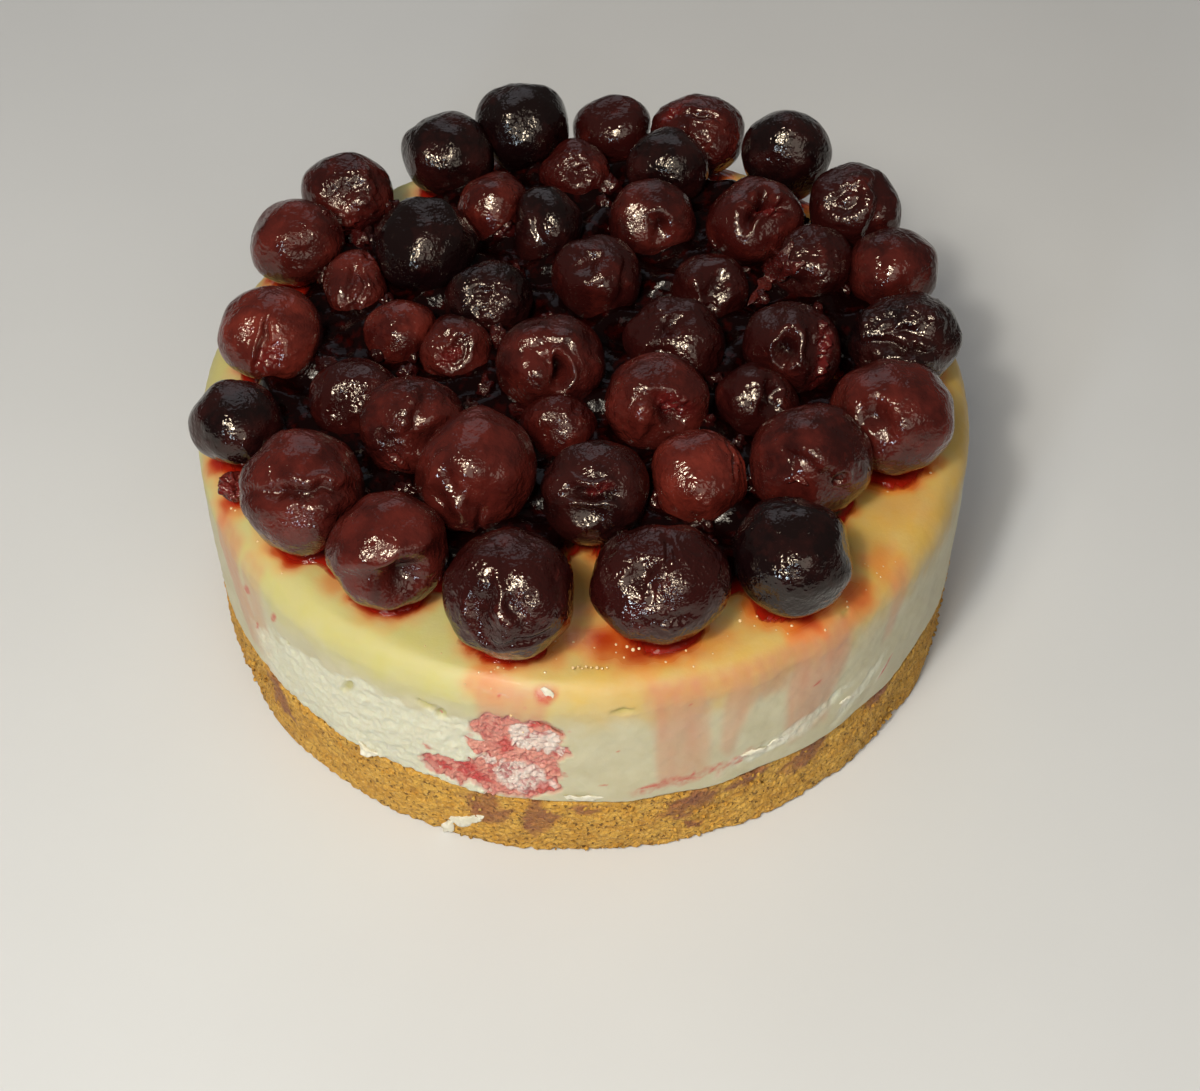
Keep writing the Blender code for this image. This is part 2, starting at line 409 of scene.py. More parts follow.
def cherry_skin(name, deep, thin):
    """Deep colour mixed with the colour of thin skin by slow noise and by how pale the cherry is, then with
    near black as painted shade in hollows, slits and creases, then by torn flesh. Wrinkles of about 3 mm and
    1 mm are strongest where the point field 'wrinkled' is."""
    finish = Finish(name)
    patches = finish.noise(7 * MM, 3).between(0.35, 0.68)
    veins = finish.noise(1.6 * MM, 5, 0.6).between(0.4, 0.75)
    thinness = patches * 0.55 + veins * 0.25 + finish.field("pale") - 0.5
    colour = finish.mix(thinness.clipped(), deep, thin)
    # Painted shade: near black where a hollow, slit or crease of a mark lies, darker for deeper marks. Over
    # the pulp the same field paints the shade of the gaps, and on the shreds it only darkens their tone.
    colour = finish.mix(finish.field("sunken") * 0.75, colour, tint(14, 3, 4))
    colour = finish.mix(finish.field("flesh") * (0.4 + veins * 0.4), colour, tint(104, 24, 24))
    wrinkled = finish.field("wrinkled")
    crackled = finish.noise(5 * MM, 2).between(0.42, 0.62)
    folds = finish.creases(2.6 * MM)
    fine = finish.creases(1.0 * MM, 2)
    height = folds * (0.45 + wrinkled * 1.2) + fine * (0.13 + wrinkled * 0.32 + crackled * 0.27)
    finish.shade({
        "Base Color": colour,
        "Roughness": 0.07 + veins * 0.06,
        "Normal": finish.bump(height, 0.22 * MM, 1.0),
        "IOR": 1.5,
        "Specular Tint": (1.0, 0.9, 0.8, 1.0),
    })
    return finish.made


skins = {name: cherry_skin(name, deep, thin) for name, (deep, thin) in SKINS.items()}
print("skins", list(skins))

# %% [markdown]
# ## The cherries
# Each solid cherry has fewer than a hundred corners. The soft skin over it is a cube's grid blown up to a
# ball: it has no poles to pinch. In each direction its reach is the average of the solid's corner distances,
# weighted by nearness, so it keeps the solid's place, size and squashed sides. Then come the dents, slits and
# folds that the stone's removal left, each pressed in where the photograph shows it.

# %% A ball grid and the solid's reach
BALL_CELLS = 38
NEARNESS = math.radians(17)


def ball_grid(cells):
    """Unit directions and outward quads: six square grids, evened by a tangent, joined where they meet."""
    step = np.tan(np.linspace(-1, 1, cells + 1) * math.pi / 4)
    u, v = np.meshgrid(step, step, indexing="ij")
    corner = np.arange((cells + 1) ** 2).reshape(cells + 1, cells + 1)
    quads = np.stack((corner[:-1, :-1], corner[1:, :-1], corner[1:, 1:], corner[:-1, 1:]), -1).reshape(-1, 4)
    sides, faces = [], []
    for axis in range(3):
        for end in (-1, 1):
            side = np.empty((cells + 1, cells + 1, 3))
            side[..., axis] = end
            side[..., (axis + 1) % 3] = u * end
            side[..., (axis + 2) % 3] = v
            faces.append(quads + len(sides) * corner.size)
            sides.append(side.reshape(-1, 3))
    cube = np.round(np.concatenate(sides), 7)
    joined, index = np.unique(cube, axis=0, return_inverse=True)
    return joined / np.linalg.norm(joined, axis=1, keepdims=True), index.ravel()[np.concatenate(faces)]


def solid_reach(corners, middle, directions):
    """The nearness-weighted average of the distances from the middle to the solid's corners."""
    apart = corners - middle
    distance = np.linalg.norm(apart, axis=1)
    cosine = directions @ (apart / distance[:, None]).T
    weight = np.exp((cosine - 1) / (1 - math.cos(NEARNESS)))
    return weight @ distance / weight.sum(1)


def corners_of(node):
    """The different corners of a CAD node's mesh."""
    mesh = frame["nodes"][node].data
    places = np.empty(len(mesh.vertices) * 3)
    mesh.vertices.foreach_get("co", places)
    return np.unique(np.round(places.reshape(-1, 3), 6), axis=0)


ball_directions, ball_quads = ball_grid(BALL_CELLS)
cherry_nodes = sorted(name for name in frame["nodes"] if name.startswith("cherry_"))
slot_of = {row["node"]: row["material_slot"] for row in frame["record"]["subparts"]}
print(len(cherry_nodes), "cherries,", len(ball_quads) * 2, "triangles each")

# %% [markdown]
# ## Dents, slits and folds
# A mark is named by the cherry, its kind, the pixel of its middle, the degrees that it is turned in the
# picture, and its half length, half width and depth in millimetres. It is carried to the skin and pressed in
# there. A bump in the material alone would leave the outline smooth, and a deep slit has to be a real one.

# %% Marks read from the photograph
MARKS = (
    ("02", "slit", 303, 493, 2, 9.5, 1.3, 1.3), ("02", "hollow", 330, 460, 40, 3.5, 2.0, 0.5),
    ("03", "fold", 378, 570, 14, 9.0, 1.7, 1.3), ("03", "hollow", 404, 583, 55, 4.2, 3.0, 2.6),
    ("04", "fold", 506, 598, 102, 6.5, 1.5, 1.1), ("04", "hollow", 480, 590, 60, 4.5, 3.0, 1.3),
    ("04", "hollow", 478, 622, 100, 4.0, 2.4, 1.4), ("04", "ring", 530, 595, 0, 1.0, 1.0, 0.6),
    ("04", "slit", 520, 641, 12, 6.0, 0.7, 0.6), ("05", "slit", 668, 545, 88, 3.6, 0.5, 0.8),
    ("05", "slit", 677, 547, 98, 3.0, 0.5, 0.7), ("05", "hollow", 640, 578, 70, 3.4, 2.6, 1.1),
    ("05", "fold", 650, 590, 60, 3.5, 1.2, 0.8), ("05", "hollow", 672, 622, 10, 4.0, 1.2, 0.5),
    ("06", "slit", 797, 487, 80, 3.0, 0.5, 0.5), ("06", "hollow", 770, 590, 40, 3.0, 2.0, 0.5),
    ("07", "fold", 825, 468, -35, 7.5, 1.6, 1.5), ("07", "ring", 843, 480, 0, 1.4, 1.2, 0.9),
    ("08", "hollow", 874, 416, -40, 4.2, 2.6, 1.7), ("08", "fold", 862, 408, 60, 4.5, 1.3, 0.8),
    ("09", "slit", 735, 455, 70, 4.0, 0.6, 0.9), ("09", "slit", 744, 468, 85, 3.5, 0.5, 0.7),
    ("10", "slit", 592, 494, -4, 4.6, 1.1, 2.2), ("10", "hollow", 590, 515, 10, 3.2, 1.8, 0.8),
    ("10", "ragged", 598, 489, 10, 3.0, 1.1, 0.5),
    ("11", "fold", 463, 503, 118, 6.0, 1.4, 1.4), ("11", "hollow", 445, 492, 70, 4.0, 2.2, 1.3),
    ("11", "slit", 482, 522, 95, 4.0, 0.8, 0.8), ("12", "hollow", 673, 413, -30, 4.6, 2.4, 2.6),
    ("12", "ragged", 676, 406, -25, 4.2, 2.2, 1.0), ("12", "fold", 652, 424, 70, 4.5, 1.3, 1.2),
    ("14", "hollow", 562, 372, 94, 2.8, 1.5, 5.0), ("14", "fold", 546, 375, 100, 4.0, 1.2, 1.1),
    ("14", "ring", 552, 350, 0, 4.6, 3.0, 0.5), ("15", "ring", 458, 352, 70, 3.4, 2.2, 0.55),
    ("16", "hollow", 388, 345, 20, 2.4, 1.6, 0.4), ("17", "hollow", 340, 403, 60, 3.4, 2.6, 0.8),
    ("18", "fold", 412, 412, 70, 5.5, 1.5, 1.3), ("18", "hollow", 432, 440, 30, 3.4, 2.2, 1.4),
    ("19", "slit", 262, 340, 78, 5.4, 0.8, 1.3), ("19", "hollow", 270, 355, 60, 2.6, 1.8, 0.5),
    ("20", "hollow", 300, 262, 30, 3.5, 2.0, 0.4), ("21", "ring", 355, 284, 84, 5.0, 1.9, 0.7),
    ("22", "hollow", 350, 190, 20, 4.4, 3.0, 0.8), ("22", "fold", 375, 185, 100, 4.0, 1.3, 0.9),
    ("24", "hollow", 462, 128, -30, 4.0, 1.6, 0.5), ("26", "slit", 500, 236, 60, 3.2, 0.8, 1.0),
    ("26", "ragged", 500, 246, 20, 2.4, 1.4, 0.9), ("27", "fold", 532, 226, 96, 6.5, 1.1, 0.9),
    ("27", "slit", 556, 262, 100, 3.5, 0.7, 0.7), ("28", "fold", 490, 286, 8, 6.0, 1.4, 0.8),
    ("29", "hollow", 582, 172, 50, 2.6, 1.8, 0.6), ("31", "slit", 702, 112, -15, 3.6, 0.8, 1.0),
    ("31", "hollow", 682, 118, 50, 2.2, 1.5, 0.9), ("34", "hollow", 661, 230, 90, 2.6, 1.8, 1.3),
    ("35", "slit", 757, 204, 62, 4.6, 1.2, 2.6), ("35", "slit", 772, 200, -8, 4.2, 0.8, 1.6),
    ("35", "ragged", 770, 206, 10, 3.4, 1.8, 1.0), ("36", "ring", 846, 198, 30, 3.6, 2.6, 0.7),
    ("36", "fold", 873, 205, 84, 6.5, 1.4, 1.3), ("38", "fold", 782, 262, -50, 6.0, 1.5, 1.4),
    ("38", "hollow", 796, 282, 20, 4.0, 2.0, 1.0), ("39", "hollow", 590, 262, 40, 3.0, 2.0, 1.4),
    ("39", "fold", 620, 278, 75, 5.0, 1.2, 0.8), ("40", "hollow", 718, 288, 80, 3.6, 2.0, 1.1),
    ("40", "fold", 700, 292, 100, 4.0, 1.2, 0.8), ("41", "fold", 652, 340, 60, 6.0, 1.4, 1.2),
    ("41", "hollow", 668, 322, 20, 4.0, 1.8, 1.1), ("42", "hollow", 786, 350, 80, 2.8, 1.8, 2.8),
    ("42", "fold", 808, 350, 96, 6.0, 1.3, 1.2), ("43", "fold", 890, 330, 12, 8.0, 1.4, 1.3),
    ("43", "slit", 905, 350, -10, 6.0, 1.0, 1.3), ("43", "ring", 884, 322, 20, 3.0, 1.8, 0.6),
    ("44", "hollow", 776, 400, 90, 3.4, 2.2, 1.6), ("44", "fold", 764, 396, 84, 4.0, 1.2, 0.8),
    ("45", "ragged", 230, 488, 70, 4.0, 4.0, 0.8), ("22", "ragged", 338, 222, -25, 4.5, 1.8, 1.0),
    ("19", "ragged", 266, 358, 60, 3.2, 1.8, 0.6), ("42", "ragged", 828, 352, 86, 6.0, 1.6, 1.1),
    ("31", "ragged", 672, 112, 30, 3.0, 1.6, 0.8), ("15", "ragged", 450, 357, 60, 2.8, 1.8, 0.8),
)
print(len(MARKS), "marks")

# %% How a mark moves the skin


def mark_frame(directions, middle, radius, pixel, turn):
    """Distances along and across a mark, in metres on the skin, and whether a point faces its way."""
    centre = on_ball(pixel, middle, radius)
    turn = math.radians(turn)
    along = VIEW[:, 0] * math.cos(turn) + VIEW[:, 1] * math.sin(turn)
    along = along - centre * (along @ centre)
    along /= np.linalg.norm(along)
    across = np.cross(centre, along)
    facing = directions @ centre > 0
    return directions @ along * radius, directions @ across * radius, facing


def pressed(kind, a, b, depth, crumple):
    """How far a mark moves the skin, outwards positive, and how much painted shade darkens it there, from 0
    to 1.
    The letters a and b are the distances along and across in half lengths and half widths.
    A hollow is a bell with a low rim. A slit is a long bell with raised lips. A fold is a smooth step that
    dies away. A ring is a groove round a small mound. Ragged fruit is crumpled by short waves."""
    if kind == "slit":
        ends = np.exp(-(a**4))
        groove = ends * np.exp(-(b**2))
        return depth * (0.35 * ends * np.exp(-(((np.abs(b) - 1.9) / 0.8) ** 2)) - groove), groove
    if kind == "fold":
        fade = np.exp(-(a**4)) * np.exp(-((b / 3.2) ** 2))
        return depth * fade * np.tanh(1.8 * b) * 0.7, fade * np.exp(-(((b + 0.5) / 0.5) ** 2)) * 0.6
    reach = np.sqrt(a**2 + b**2)
    if kind == "ragged":
        torn = np.exp(-(reach**4))
        return depth * torn * (0.45 * crumple - 0.3), torn * 0.4 * (crumple < 0)
    if kind == "ring":
        groove = np.exp(-(((reach - 0.75) / 0.33) ** 2))
        return depth * (0.4 * np.exp(-(((reach - 1.35) / 0.35) ** 2)) - groove), groove * 0.6
    bowl = np.exp(-(reach**2.4))
    return depth * (0.18 * np.exp(-(((reach - 1.5) / 0.4) ** 2)) - bowl), bowl


print("a hollow 1 mm deep moves its middle by", np.round(pressed("hollow", 0, 0, 1, 0)[0], 2), "mm")

# %% [markdown]
# ## Each cherry's own skin
# Cooking shrivels some cherries and leaves others plump, and some show more red. One skin could be copied
# 45 times, but the eye spots repeats at once, so each cherry has its own seed, its own share of wrinkles and
# its own depth of colour. The share is 0 for smooth skin and 1 for the most shrivelled.

# %% Wrinkles and tones
WRINKLED = {
    "43": 1.0, "22": 0.8, "28": 0.9, "29": 0.8, "31": 0.85, "18": 0.8, "40": 0.7, "41": 0.7,
    "21": 0.8, "15": 0.8, "45": 0.6, "36": 0.6, "38": 0.7, "02": 0.55, "04": 0.5, "05": 0.6,
    "12": 0.6, "13": 0.6, "17": 0.6, "42": 0.6, "10": 0.5, "09": 0.55,
}
USUAL_WRINKLES = 0.32
PALER_THAN_MOST = ("02", "03", "08", "09", "10", "11", "12", "19", "20", "21")
DEEPER_THAN_MOST = (
    "04", "05", "06", "13", "17", "23", "25", "29", "30",
    "31", "35", "36", "38", "39", "40", "41", "42", "44",
)
USUAL_PALENESS = 0.45
WRINKLE_HEIGHT = 0.20 * MM
DENT_HEIGHT = 0.22 * MM
DARKEST_DEPTH = 2.2
print(len(WRINKLED), "cherries with wrinkles of their own,", len(PALER_THAN_MOST), "paler ones")

# %% Skin each cherry


def cherry(node):
    """The reach of the solid, plus slow dents, wrinkles and the marks, along each direction of the ball."""
    number = node[-2:]
    low, high = (np.array(corner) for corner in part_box(node))
    middle = (low + high) / 2
    radius = (high - low).mean() / 2
    reach = solid_reach(corners_of(node), middle, ball_directions)
    flat = ball_directions * radius
    seed = int(number) * 10
    wrinkled = WRINKLED.get(number, USUAL_WRINKLES)
    coming = smooth_step(-0.6, 1.0, waves(flat, 9 * MM, seed + 1))
    reach = reach + DENT_HEIGHT * waves(flat, 8 * MM, seed + 2)
    ridges = 1 - np.abs(rough(flat, 4.5 * MM, seed + 3))
    reach = reach + WRINKLE_HEIGHT * wrinkled * (0.3 + 0.7 * coming) * ridges
    crumple = rough(flat, 2.0 * MM, seed + 5, 2)
    sunken = np.zeros(len(flat))
    flesh = np.zeros(len(flat))
    for owner, kind, x, y, turn, long, wide, depth in MARKS:
        if owner != number:
            continue
        a, b, facing = mark_frame(ball_directions, middle, radius, (x, y), turn)
        wander = 0.35 * MM * waves(flat, 5 * MM, seed + 4)
        a = a / (long * MM)
        b = (b + wander) / (wide * MM)
        move, dark = pressed(kind, a, b, depth * MM, crumple)
        reach = reach + move * facing
        # Deeper marks get darker painted shade, which is full at DARKEST_DEPTH.
        sunken = np.maximum(sunken, dark * facing * min(1.0, depth / DARKEST_DEPTH))
        if kind == "ragged":
            flesh = np.maximum(flesh, facing * np.exp(-((a**2 + b**2) ** 2)))
    points = middle + ball_directions * reach[:, None]
    points = np.clip(points, np.array(cad_low), np.array(cad_high))
    piece = mesh_piece(f"skin_{node}", points, ball_quads)
    pale = USUAL_PALENESS + 0.25 * (number in PALER_THAN_MOST) - 0.35 * (number in DEEPER_THAN_MOST)
    paint(piece, sunken=sunken, flesh=flesh, wrinkled=wrinkled * (0.35 + 0.65 * coming),
          pale=np.full(len(points), pale))
    piece.data.materials.append(skins[slot_of[node]])
    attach(piece, "root")
    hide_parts(node)
    return middle, radius


fruits = [cherry(node) for node in cherry_nodes]
fruit_middles = np.array([middle for middle, _ in fruits])
fruit_radii = np.array([radius for _, radius in fruits])
print("cherry widths in mm", np.round(2 * fruit_radii.min() / MM, 1), np.round(2 * fruit_radii.max() / MM, 1))

# %% [markdown]
# ## Where the syrup lies
# Syrup fills the space inside the ring of outer cherries and creeps up to each cherry's foot. Painting it by
# hand would miss the sides that the photograph doesn't show, so two fields say it everywhere: how far out the
# outermost fruit stands in each direction, and how far a place is from the nearest cherry's foot.

# %% The ring of outer fruit, and the distance to the nearest
FOOT_SHARE = 0.62
RIM_SPREAD = math.radians(14)


def fruit_rim(points):
    """The distance from the axis to the outermost fruit near each point's direction: the mean of the
    cherries' distances, with weights that favour the far ones and those within the spread."""
    turn = np.arctan2(points[:, 0], points[:, 1])
    total = np.zeros(len(points))
    weights = np.full(len(points), 1e-12)
    for middle, _ in fruits:
        far = math.hypot(middle[0], middle[1])
        apart = (turn - math.atan2(middle[0], middle[1]) + math.pi) % (2 * math.pi) - math.pi
        weight = math.exp((far - CAKE_RADIUS) / (2 * MM)) * np.exp(-((apart / RIM_SPREAD) ** 2))
        total += weight * far
        weights += weight
    return total / weights


def foot_distance(points):
    """The distance in plan to the nearest cherry's foot, which is a share of its half width. Below 0 is
    under it."""
    least = np.full(len(points), 1.0)
    for middle, radius in fruits:
        plan = np.linalg.norm(points[:, :2] - middle[:2], axis=1)
        least = np.minimum(least, plan - FOOT_SHARE * radius)
    return least


print("outer fruit in front stands at", np.round(fruit_rim(np.array([(0, -0.05, 0)])) / MM, 1), "mm")

# %% [markdown]
# ## The cream filling
# The set cream has a matte pale side, a yellower glossy top and shoulder, and thin syrup that has run down
# it. Torn curds and small holes show where a mould was pulled away. The shape is a profile turned round the
# axis, pushed in and out by waves. Its stains could be a painted picture, but here they are fields on the
# points, so that each stain stays where it ran. Every row below names a place by its pixel.

# %% Drips and torn places on the side
DRIPS = (
    # pixel at the top of the run, pixel at its lower end, half width in mm, strength
    ((515, 655), (512, 735), 7.2, 1.0), ((672, 655), (684, 776), 6.6, 1.0),
    ((698, 655), (700, 700), 9.0, 0.8), ((735, 645), (728, 752), 3.2, 0.85),
    ((762, 640), (768, 698), 7.5, 0.85), ((808, 610), (808, 728), 7.4, 1.0),
    ((888, 560), (888, 640), 2.6, 0.7), ((255, 560), (278, 700), 3.4, 0.6),
    ((560, 655), (566, 690), 6.0, 0.5), ((610, 655), (612, 682), 6.0, 0.35),
    ((228, 560), (262, 655), 6.0, 0.9),
)
CURDS = (
    # where curds are torn out: pixel, half length and half height in mm, turn in degrees
    ((500, 741), 5.8, 8.0, 0), ((536, 747), 5.2, 8.3, 0), ((503, 779), 7.4, 6.0, 0),
    ((536, 782), 5.2, 5.4, 0), ((452, 770), 6.6, 3.6, -8),
)
TORN = (
    # rough torn cream near the foot, in the same columns
    ((790, 735), 14, 2.2, 14), ((290, 655), 6, 3.5, -30), ((862, 688), 8, 1.8, 36),
)
# the upper edge of the cream torn along the foot at the left
TORN_LINE = ((262, 630), (300, 656), (345, 674), (420, 710), (478, 722))
print(len(DRIPS), "drips and", len(CURDS) + len(TORN), "torn places")

# %% Small marks on the side
FLECKS = (
    # red specks: pixel, half length and half height in mm, turn in degrees from level
    ((246, 590), 2.0, 0.9, 60), ((274, 618), 2.2, 0.7, 60), ((256, 625), 1.6, 0.5, 70),
    ((818, 684), 0.9, 0.35, 25), ((886, 666), 2.6, 0.4, 45), ((905, 535), 0.6, 0.6, 0),
    ((546, 693), 1.9, 1.9, 0), ((690, 706), 0.3, 0.3, 0), ((652, 787), 2.4, 0.5, 4),
    ((663, 783), 0.5, 0.8, 20), ((684, 780), 2.0, 0.35, 12), ((693, 775), 0.4, 0.9, -20),
    ((713, 770), 1.8, 0.3, 40), ((738, 765), 0.9, 0.5, 0), ((427, 747), 1.0, 0.7, -40),
    ((500, 697), 0.35, 0.3, 0), ((454, 664), 0.3, 0.3, 0), ((620, 752), 0.25, 0.25, 0),
    ((604, 786), 0.5, 0.25, 0),
)
SOAKED_STRIP = (
    # cream just above the base that has drawn up red syrup, in the same columns
    ((668, 784), 6.5, 1.5, 8), ((700, 776), 7.0, 1.3, 16), ((735, 763), 5.0, 1.6, 20),
)
HOLES = (
    # in the same columns
    ((345, 688), 0.9, 2.6, -30), ((425, 705), 1.7, 0.9, -25), ((440, 715), 0.9, 1.3, 0),
    ((625, 713), 2.6, 0.5, 4), ((286, 643), 0.7, 0.7, 0), ((845, 607), 0.7, 1.1, 30),
)
FLAKES = (
    # paler scraps that stand a little proud, in the same columns
    ((368, 750), 3.6, 1.3, -30), ((782, 742), 6.5, 0.9, 22), ((850, 699), 3.0, 0.8, 38),
    ((745, 757), 3.4, 0.8, 15), ((545, 693), 0.9, 0.8, 0), ((882, 672), 2.2, 0.7, 48),
)
print(len(FLECKS), "flecks,", len(HOLES), "holes and", len(FLAKES), "flakes")

# %% Spots and drips as fields


def spot(along, height, pixel, half_long, half_high, turn=0.0):
    """A field that is 1 in the middle of a turned oval on the side and falls smoothly to 0 past its edge."""
    at, up = on_side(pixel)
    turn = math.radians(turn)
    a = ((along - at) * math.cos(turn) + (height - up) * math.sin(turn)) / (half_long * MM)
    b = ((height - up) * math.cos(turn) - (along - at) * math.sin(turn)) / (half_high * MM)
    return 1 - smooth_step(0.6, 1.3, np.sqrt(a**2 + b**2))


def most(fields):
    """The largest of several fields at each point."""
    return np.maximum.reduce(list(fields))


def curd_area(points, along, height):
    """Where curds are torn out: the largest of the spots, with edges that wander in two sizes."""
    wander = 0.7 * MM * waves(points, 5 * MM, 61) + 0.35 * MM * waves(points, 1.8 * MM, 62)
    return most(spot(along + wander, height + wander, *row) for row in CURDS)


def run_down(along, height, top, end, half_wide, strength, sway):
    """A drip: full between its top and its lower end, with slowly swaying soft edges, narrower and paler
    towards its end."""
    (start, high), (finish, low) = on_side(top), on_side(end)
    share = np.clip((high - height) / max(high - low, MM), 0, 1)
    sideways = np.abs(along - (start + (finish - start) * share) + sway)
    wide = half_wide * MM * (1 - 0.3 * share)
    body = 1 - smooth_step(wide - 1.6 * MM, wide + 1.2 * MM, sideways)
    above_end = smooth_step(low - 2.5 * MM, low + 1.5 * MM, height + 2 * sway)
    return strength * body * (1 - 0.3 * share) * above_end


print("a spot is", spot(*on_side((500, 741)), (500, 741), 1, 1), "in its own middle")

# %% The cream's profile
CREAM_COLUMNS = 880
TOUCH_GAP = 0.3 * MM
CREAM_RADIUS = CAKE_RADIUS - 0.25 * MM


def cream_profile():
    """Underside, a small foot, a straight side, a quarter-round shoulder and a level top, as rows of
    (radius, height)."""
    foot = BASE_HEIGHT + TOUCH_GAP
    side_top = CAKE_HEIGHT - SHOULDER_RADIUS
    rows = [(0, foot), (40 * MM, foot), (70 * MM, foot), (CREAM_RADIUS - 0.6 * MM, foot)]
    rows += [(CREAM_RADIUS, z) for z in np.linspace(foot + 0.5 * MM, side_top, 58)]
    for turn in np.linspace(0, math.pi / 2, 20)[1:]:
        inwards = SHOULDER_RADIUS * (1 - math.cos(turn))
        rows.append((CREAM_RADIUS - inwards, side_top + SHOULDER_RADIUS * math.sin(turn)))
    rows += [(radius * MM, CAKE_HEIGHT) for radius in np.linspace(69, 44, 20)]
    return rows + [(28 * MM, CAKE_HEIGHT), (12 * MM, CAKE_HEIGHT), (0, CAKE_HEIGHT)]


profile = cream_profile()
cream_points = turned_points(profile, CREAM_COLUMNS)
away = outwards(cream_points)
along = np.arctan2(cream_points[:, 0], -cream_points[:, 1]) * CAKE_RADIUS
height = cream_points[:, 2]
reach = np.hypot(cream_points[:, 0], cream_points[:, 1])
on_wall = smooth_step(CAKE_RADIUS - 4 * MM, CAKE_RADIUS - 1.5 * MM, reach)
wander = 0.55 * MM * waves(cream_points, 6 * MM, 11) + 0.25 * MM * waves(cream_points, 2.5 * MM, 12)
print("cream points", len(cream_points))

# %% [markdown]
# ## Stains and tears on the cream's side
# Syrup runs down in soft-edged streaks, and torn cream is rougher and whiter. Each is a field from 0 to 1 on
# the points. A stain's edge sways because waves are added to the place before it is compared with the spot,
# and the waves for drips are stretched upright, as something that runs would be.

# %% Fields on the side
upright = cream_points * (1, 1, 0.22)
sway = 0.45 * MM * waves(upright, 8 * MM, 13) + 0.12 * MM * waves(upright, 2.2 * MM, 14)
streaks = 0.92 + 0.08 * waves(cream_points * (1, 1, 0.12), 2.5 * MM, 15)
drips = most(run_down(along, height, *drip, sway) for drip in DRIPS) * on_wall * streaks
curds = curd_area(cream_points, along, height) * on_wall
strip = most(spot(along + wander, height + wander, *row) for row in SOAKED_STRIP) * on_wall
mottled = np.clip(0.42 + 0.22 * rough(cream_points, 1.6 * MM, 33, 2), 0, 0.8)
flecks = most(spot(along + 0.4 * wander, height, *fleck) for fleck in FLECKS) * on_wall
flecks = np.maximum(flecks, strip * mottled)
holes = most(spot(along + 0.5 * wander, height + 0.5 * wander, *hole) for hole in HOLES) * on_wall
flakes = most(spot(along + 0.6 * wander, height, *flake) for flake in FLAKES) * on_wall
near_foot = 1 - smooth_step(BASE_HEIGHT + 0.5 * MM, BASE_HEIGHT + 6 * MM, height)
behind = smooth_step(60 * MM, 110 * MM, np.abs(along))
torn = smooth_step(0.3, 1.2, waves(cream_points, 9 * MM, 21)) * near_foot * behind
torn = np.maximum(torn, most(spot(along + 2 * wander, height + wander, *place) for place in TORN))
line_along, line_height = np.array([on_side(pixel) for pixel in TORN_LINE]).T
below_line = np.interp(along, line_along, line_height) - height + 1.2 * wander
ends = smooth_step(-7 * MM, 0, along - line_along[0]) * smooth_step(-2 * MM, 0, line_along[-1] - along)
torn = np.maximum(torn, smooth_step(-0.6 * MM, 0.8 * MM, below_line) * ends) * on_wall
print("points in a drip", int((drips > 0.5).sum()), "and torn", int((torn > 0.5).sum()))

# %% [markdown]
# ## Pushing the cream in and out
# A knife and a mould leave slow swells, torn places are lumpy, and holes and missing curds go in. Bump alone
# would leave the outline smooth, so the points themselves move, straight out from the cake's axis. The top
# moves up and down a little instead. The push stays small enough to keep inside the solid's box.

# %% The cream's relief
MOST_INWARDS = 1.2 * MM
MOST_OUTWARDS = 0.24 * MM
CURDS_MISSING = 0.95 * MM
HOLE_DEPTH = 0.8 * MM
curdy = rough(cream_points, 2.2 * MM, 32, 3)
push = 0.14 * MM * waves(cream_points, 14 * MM, 22) + 0.03 * MM * rough(cream_points, 3 * MM, 23)
push += torn * (0.12 * MM * curdy - 0.14 * MM) - CURDS_MISSING * smooth_step(0.35, 0.6, curds)
push += 0.1 * MM * flakes * (1 + 0.5 * curdy) - HOLE_DEPTH * holes
push = np.clip(push * on_wall, -MOST_INWARDS, MOST_OUTWARDS)
lift = 0.10 * MM * waves(cream_points, 9 * MM, 24) * smooth_step(CAKE_HEIGHT - 0.5 * MM, CAKE_HEIGHT, height)
cream_points = cream_points + away * push[:, None]
cream_points[:, 2] += lift
print("pushed from", np.round(push.min() / MM, 2), "to", np.round(push.max() / MM, 2), "mm")

# %% [markdown]
# ## Syrup on the cream's top
# Round each cherry's foot the cream is red, then orange, and past that it keeps its own yellow. Where syrup
# has run out to the edge, the orange goes with it. It could be painted from above, but distance to the fruit
# says it for every side of the cake, and only the runs that the photograph shows are named by pixel.

# %% Where syrup has run out, and a gap painted paler in place of light
RUNS = (
    # pixel on the top or shoulder, half width in mm, strength
    ((604, 642), 7.5, 1.0), ((636, 652), 7.0, 1.0), ((680, 648), 6.0, 0.85), ((852, 592), 7.0, 0.85),
    ((545, 648), 6.5, 0.75), ((570, 636), 5.5, 0.7), ((590, 616), 4.5, 0.5), ((335, 582), 5.0, 0.6),
    ((715, 636), 6.0, 0.5), ((762, 612), 6.0, 0.55), ((900, 500), 9.0, 0.2), ((490, 668), 6.0, 0.7),
    ((800, 622), 5.5, 0.45), ((882, 562), 6.5, 0.5),
)
# Between two cherries at the front the orange and red are halved: painted light, a paler cream where a
# cherry's shadow falls.
PAINTED_LIGHT_GAPS = ((584, 560), (584, 578), (584, 596))


def plan_distance(points, pixel):
    """The distance in plan from each point to where a pixel's line meets the top."""
    return np.linalg.norm(points[:, :2] - on_top(pixel)[:2], axis=1)


print(len(RUNS), "places where syrup has run out")

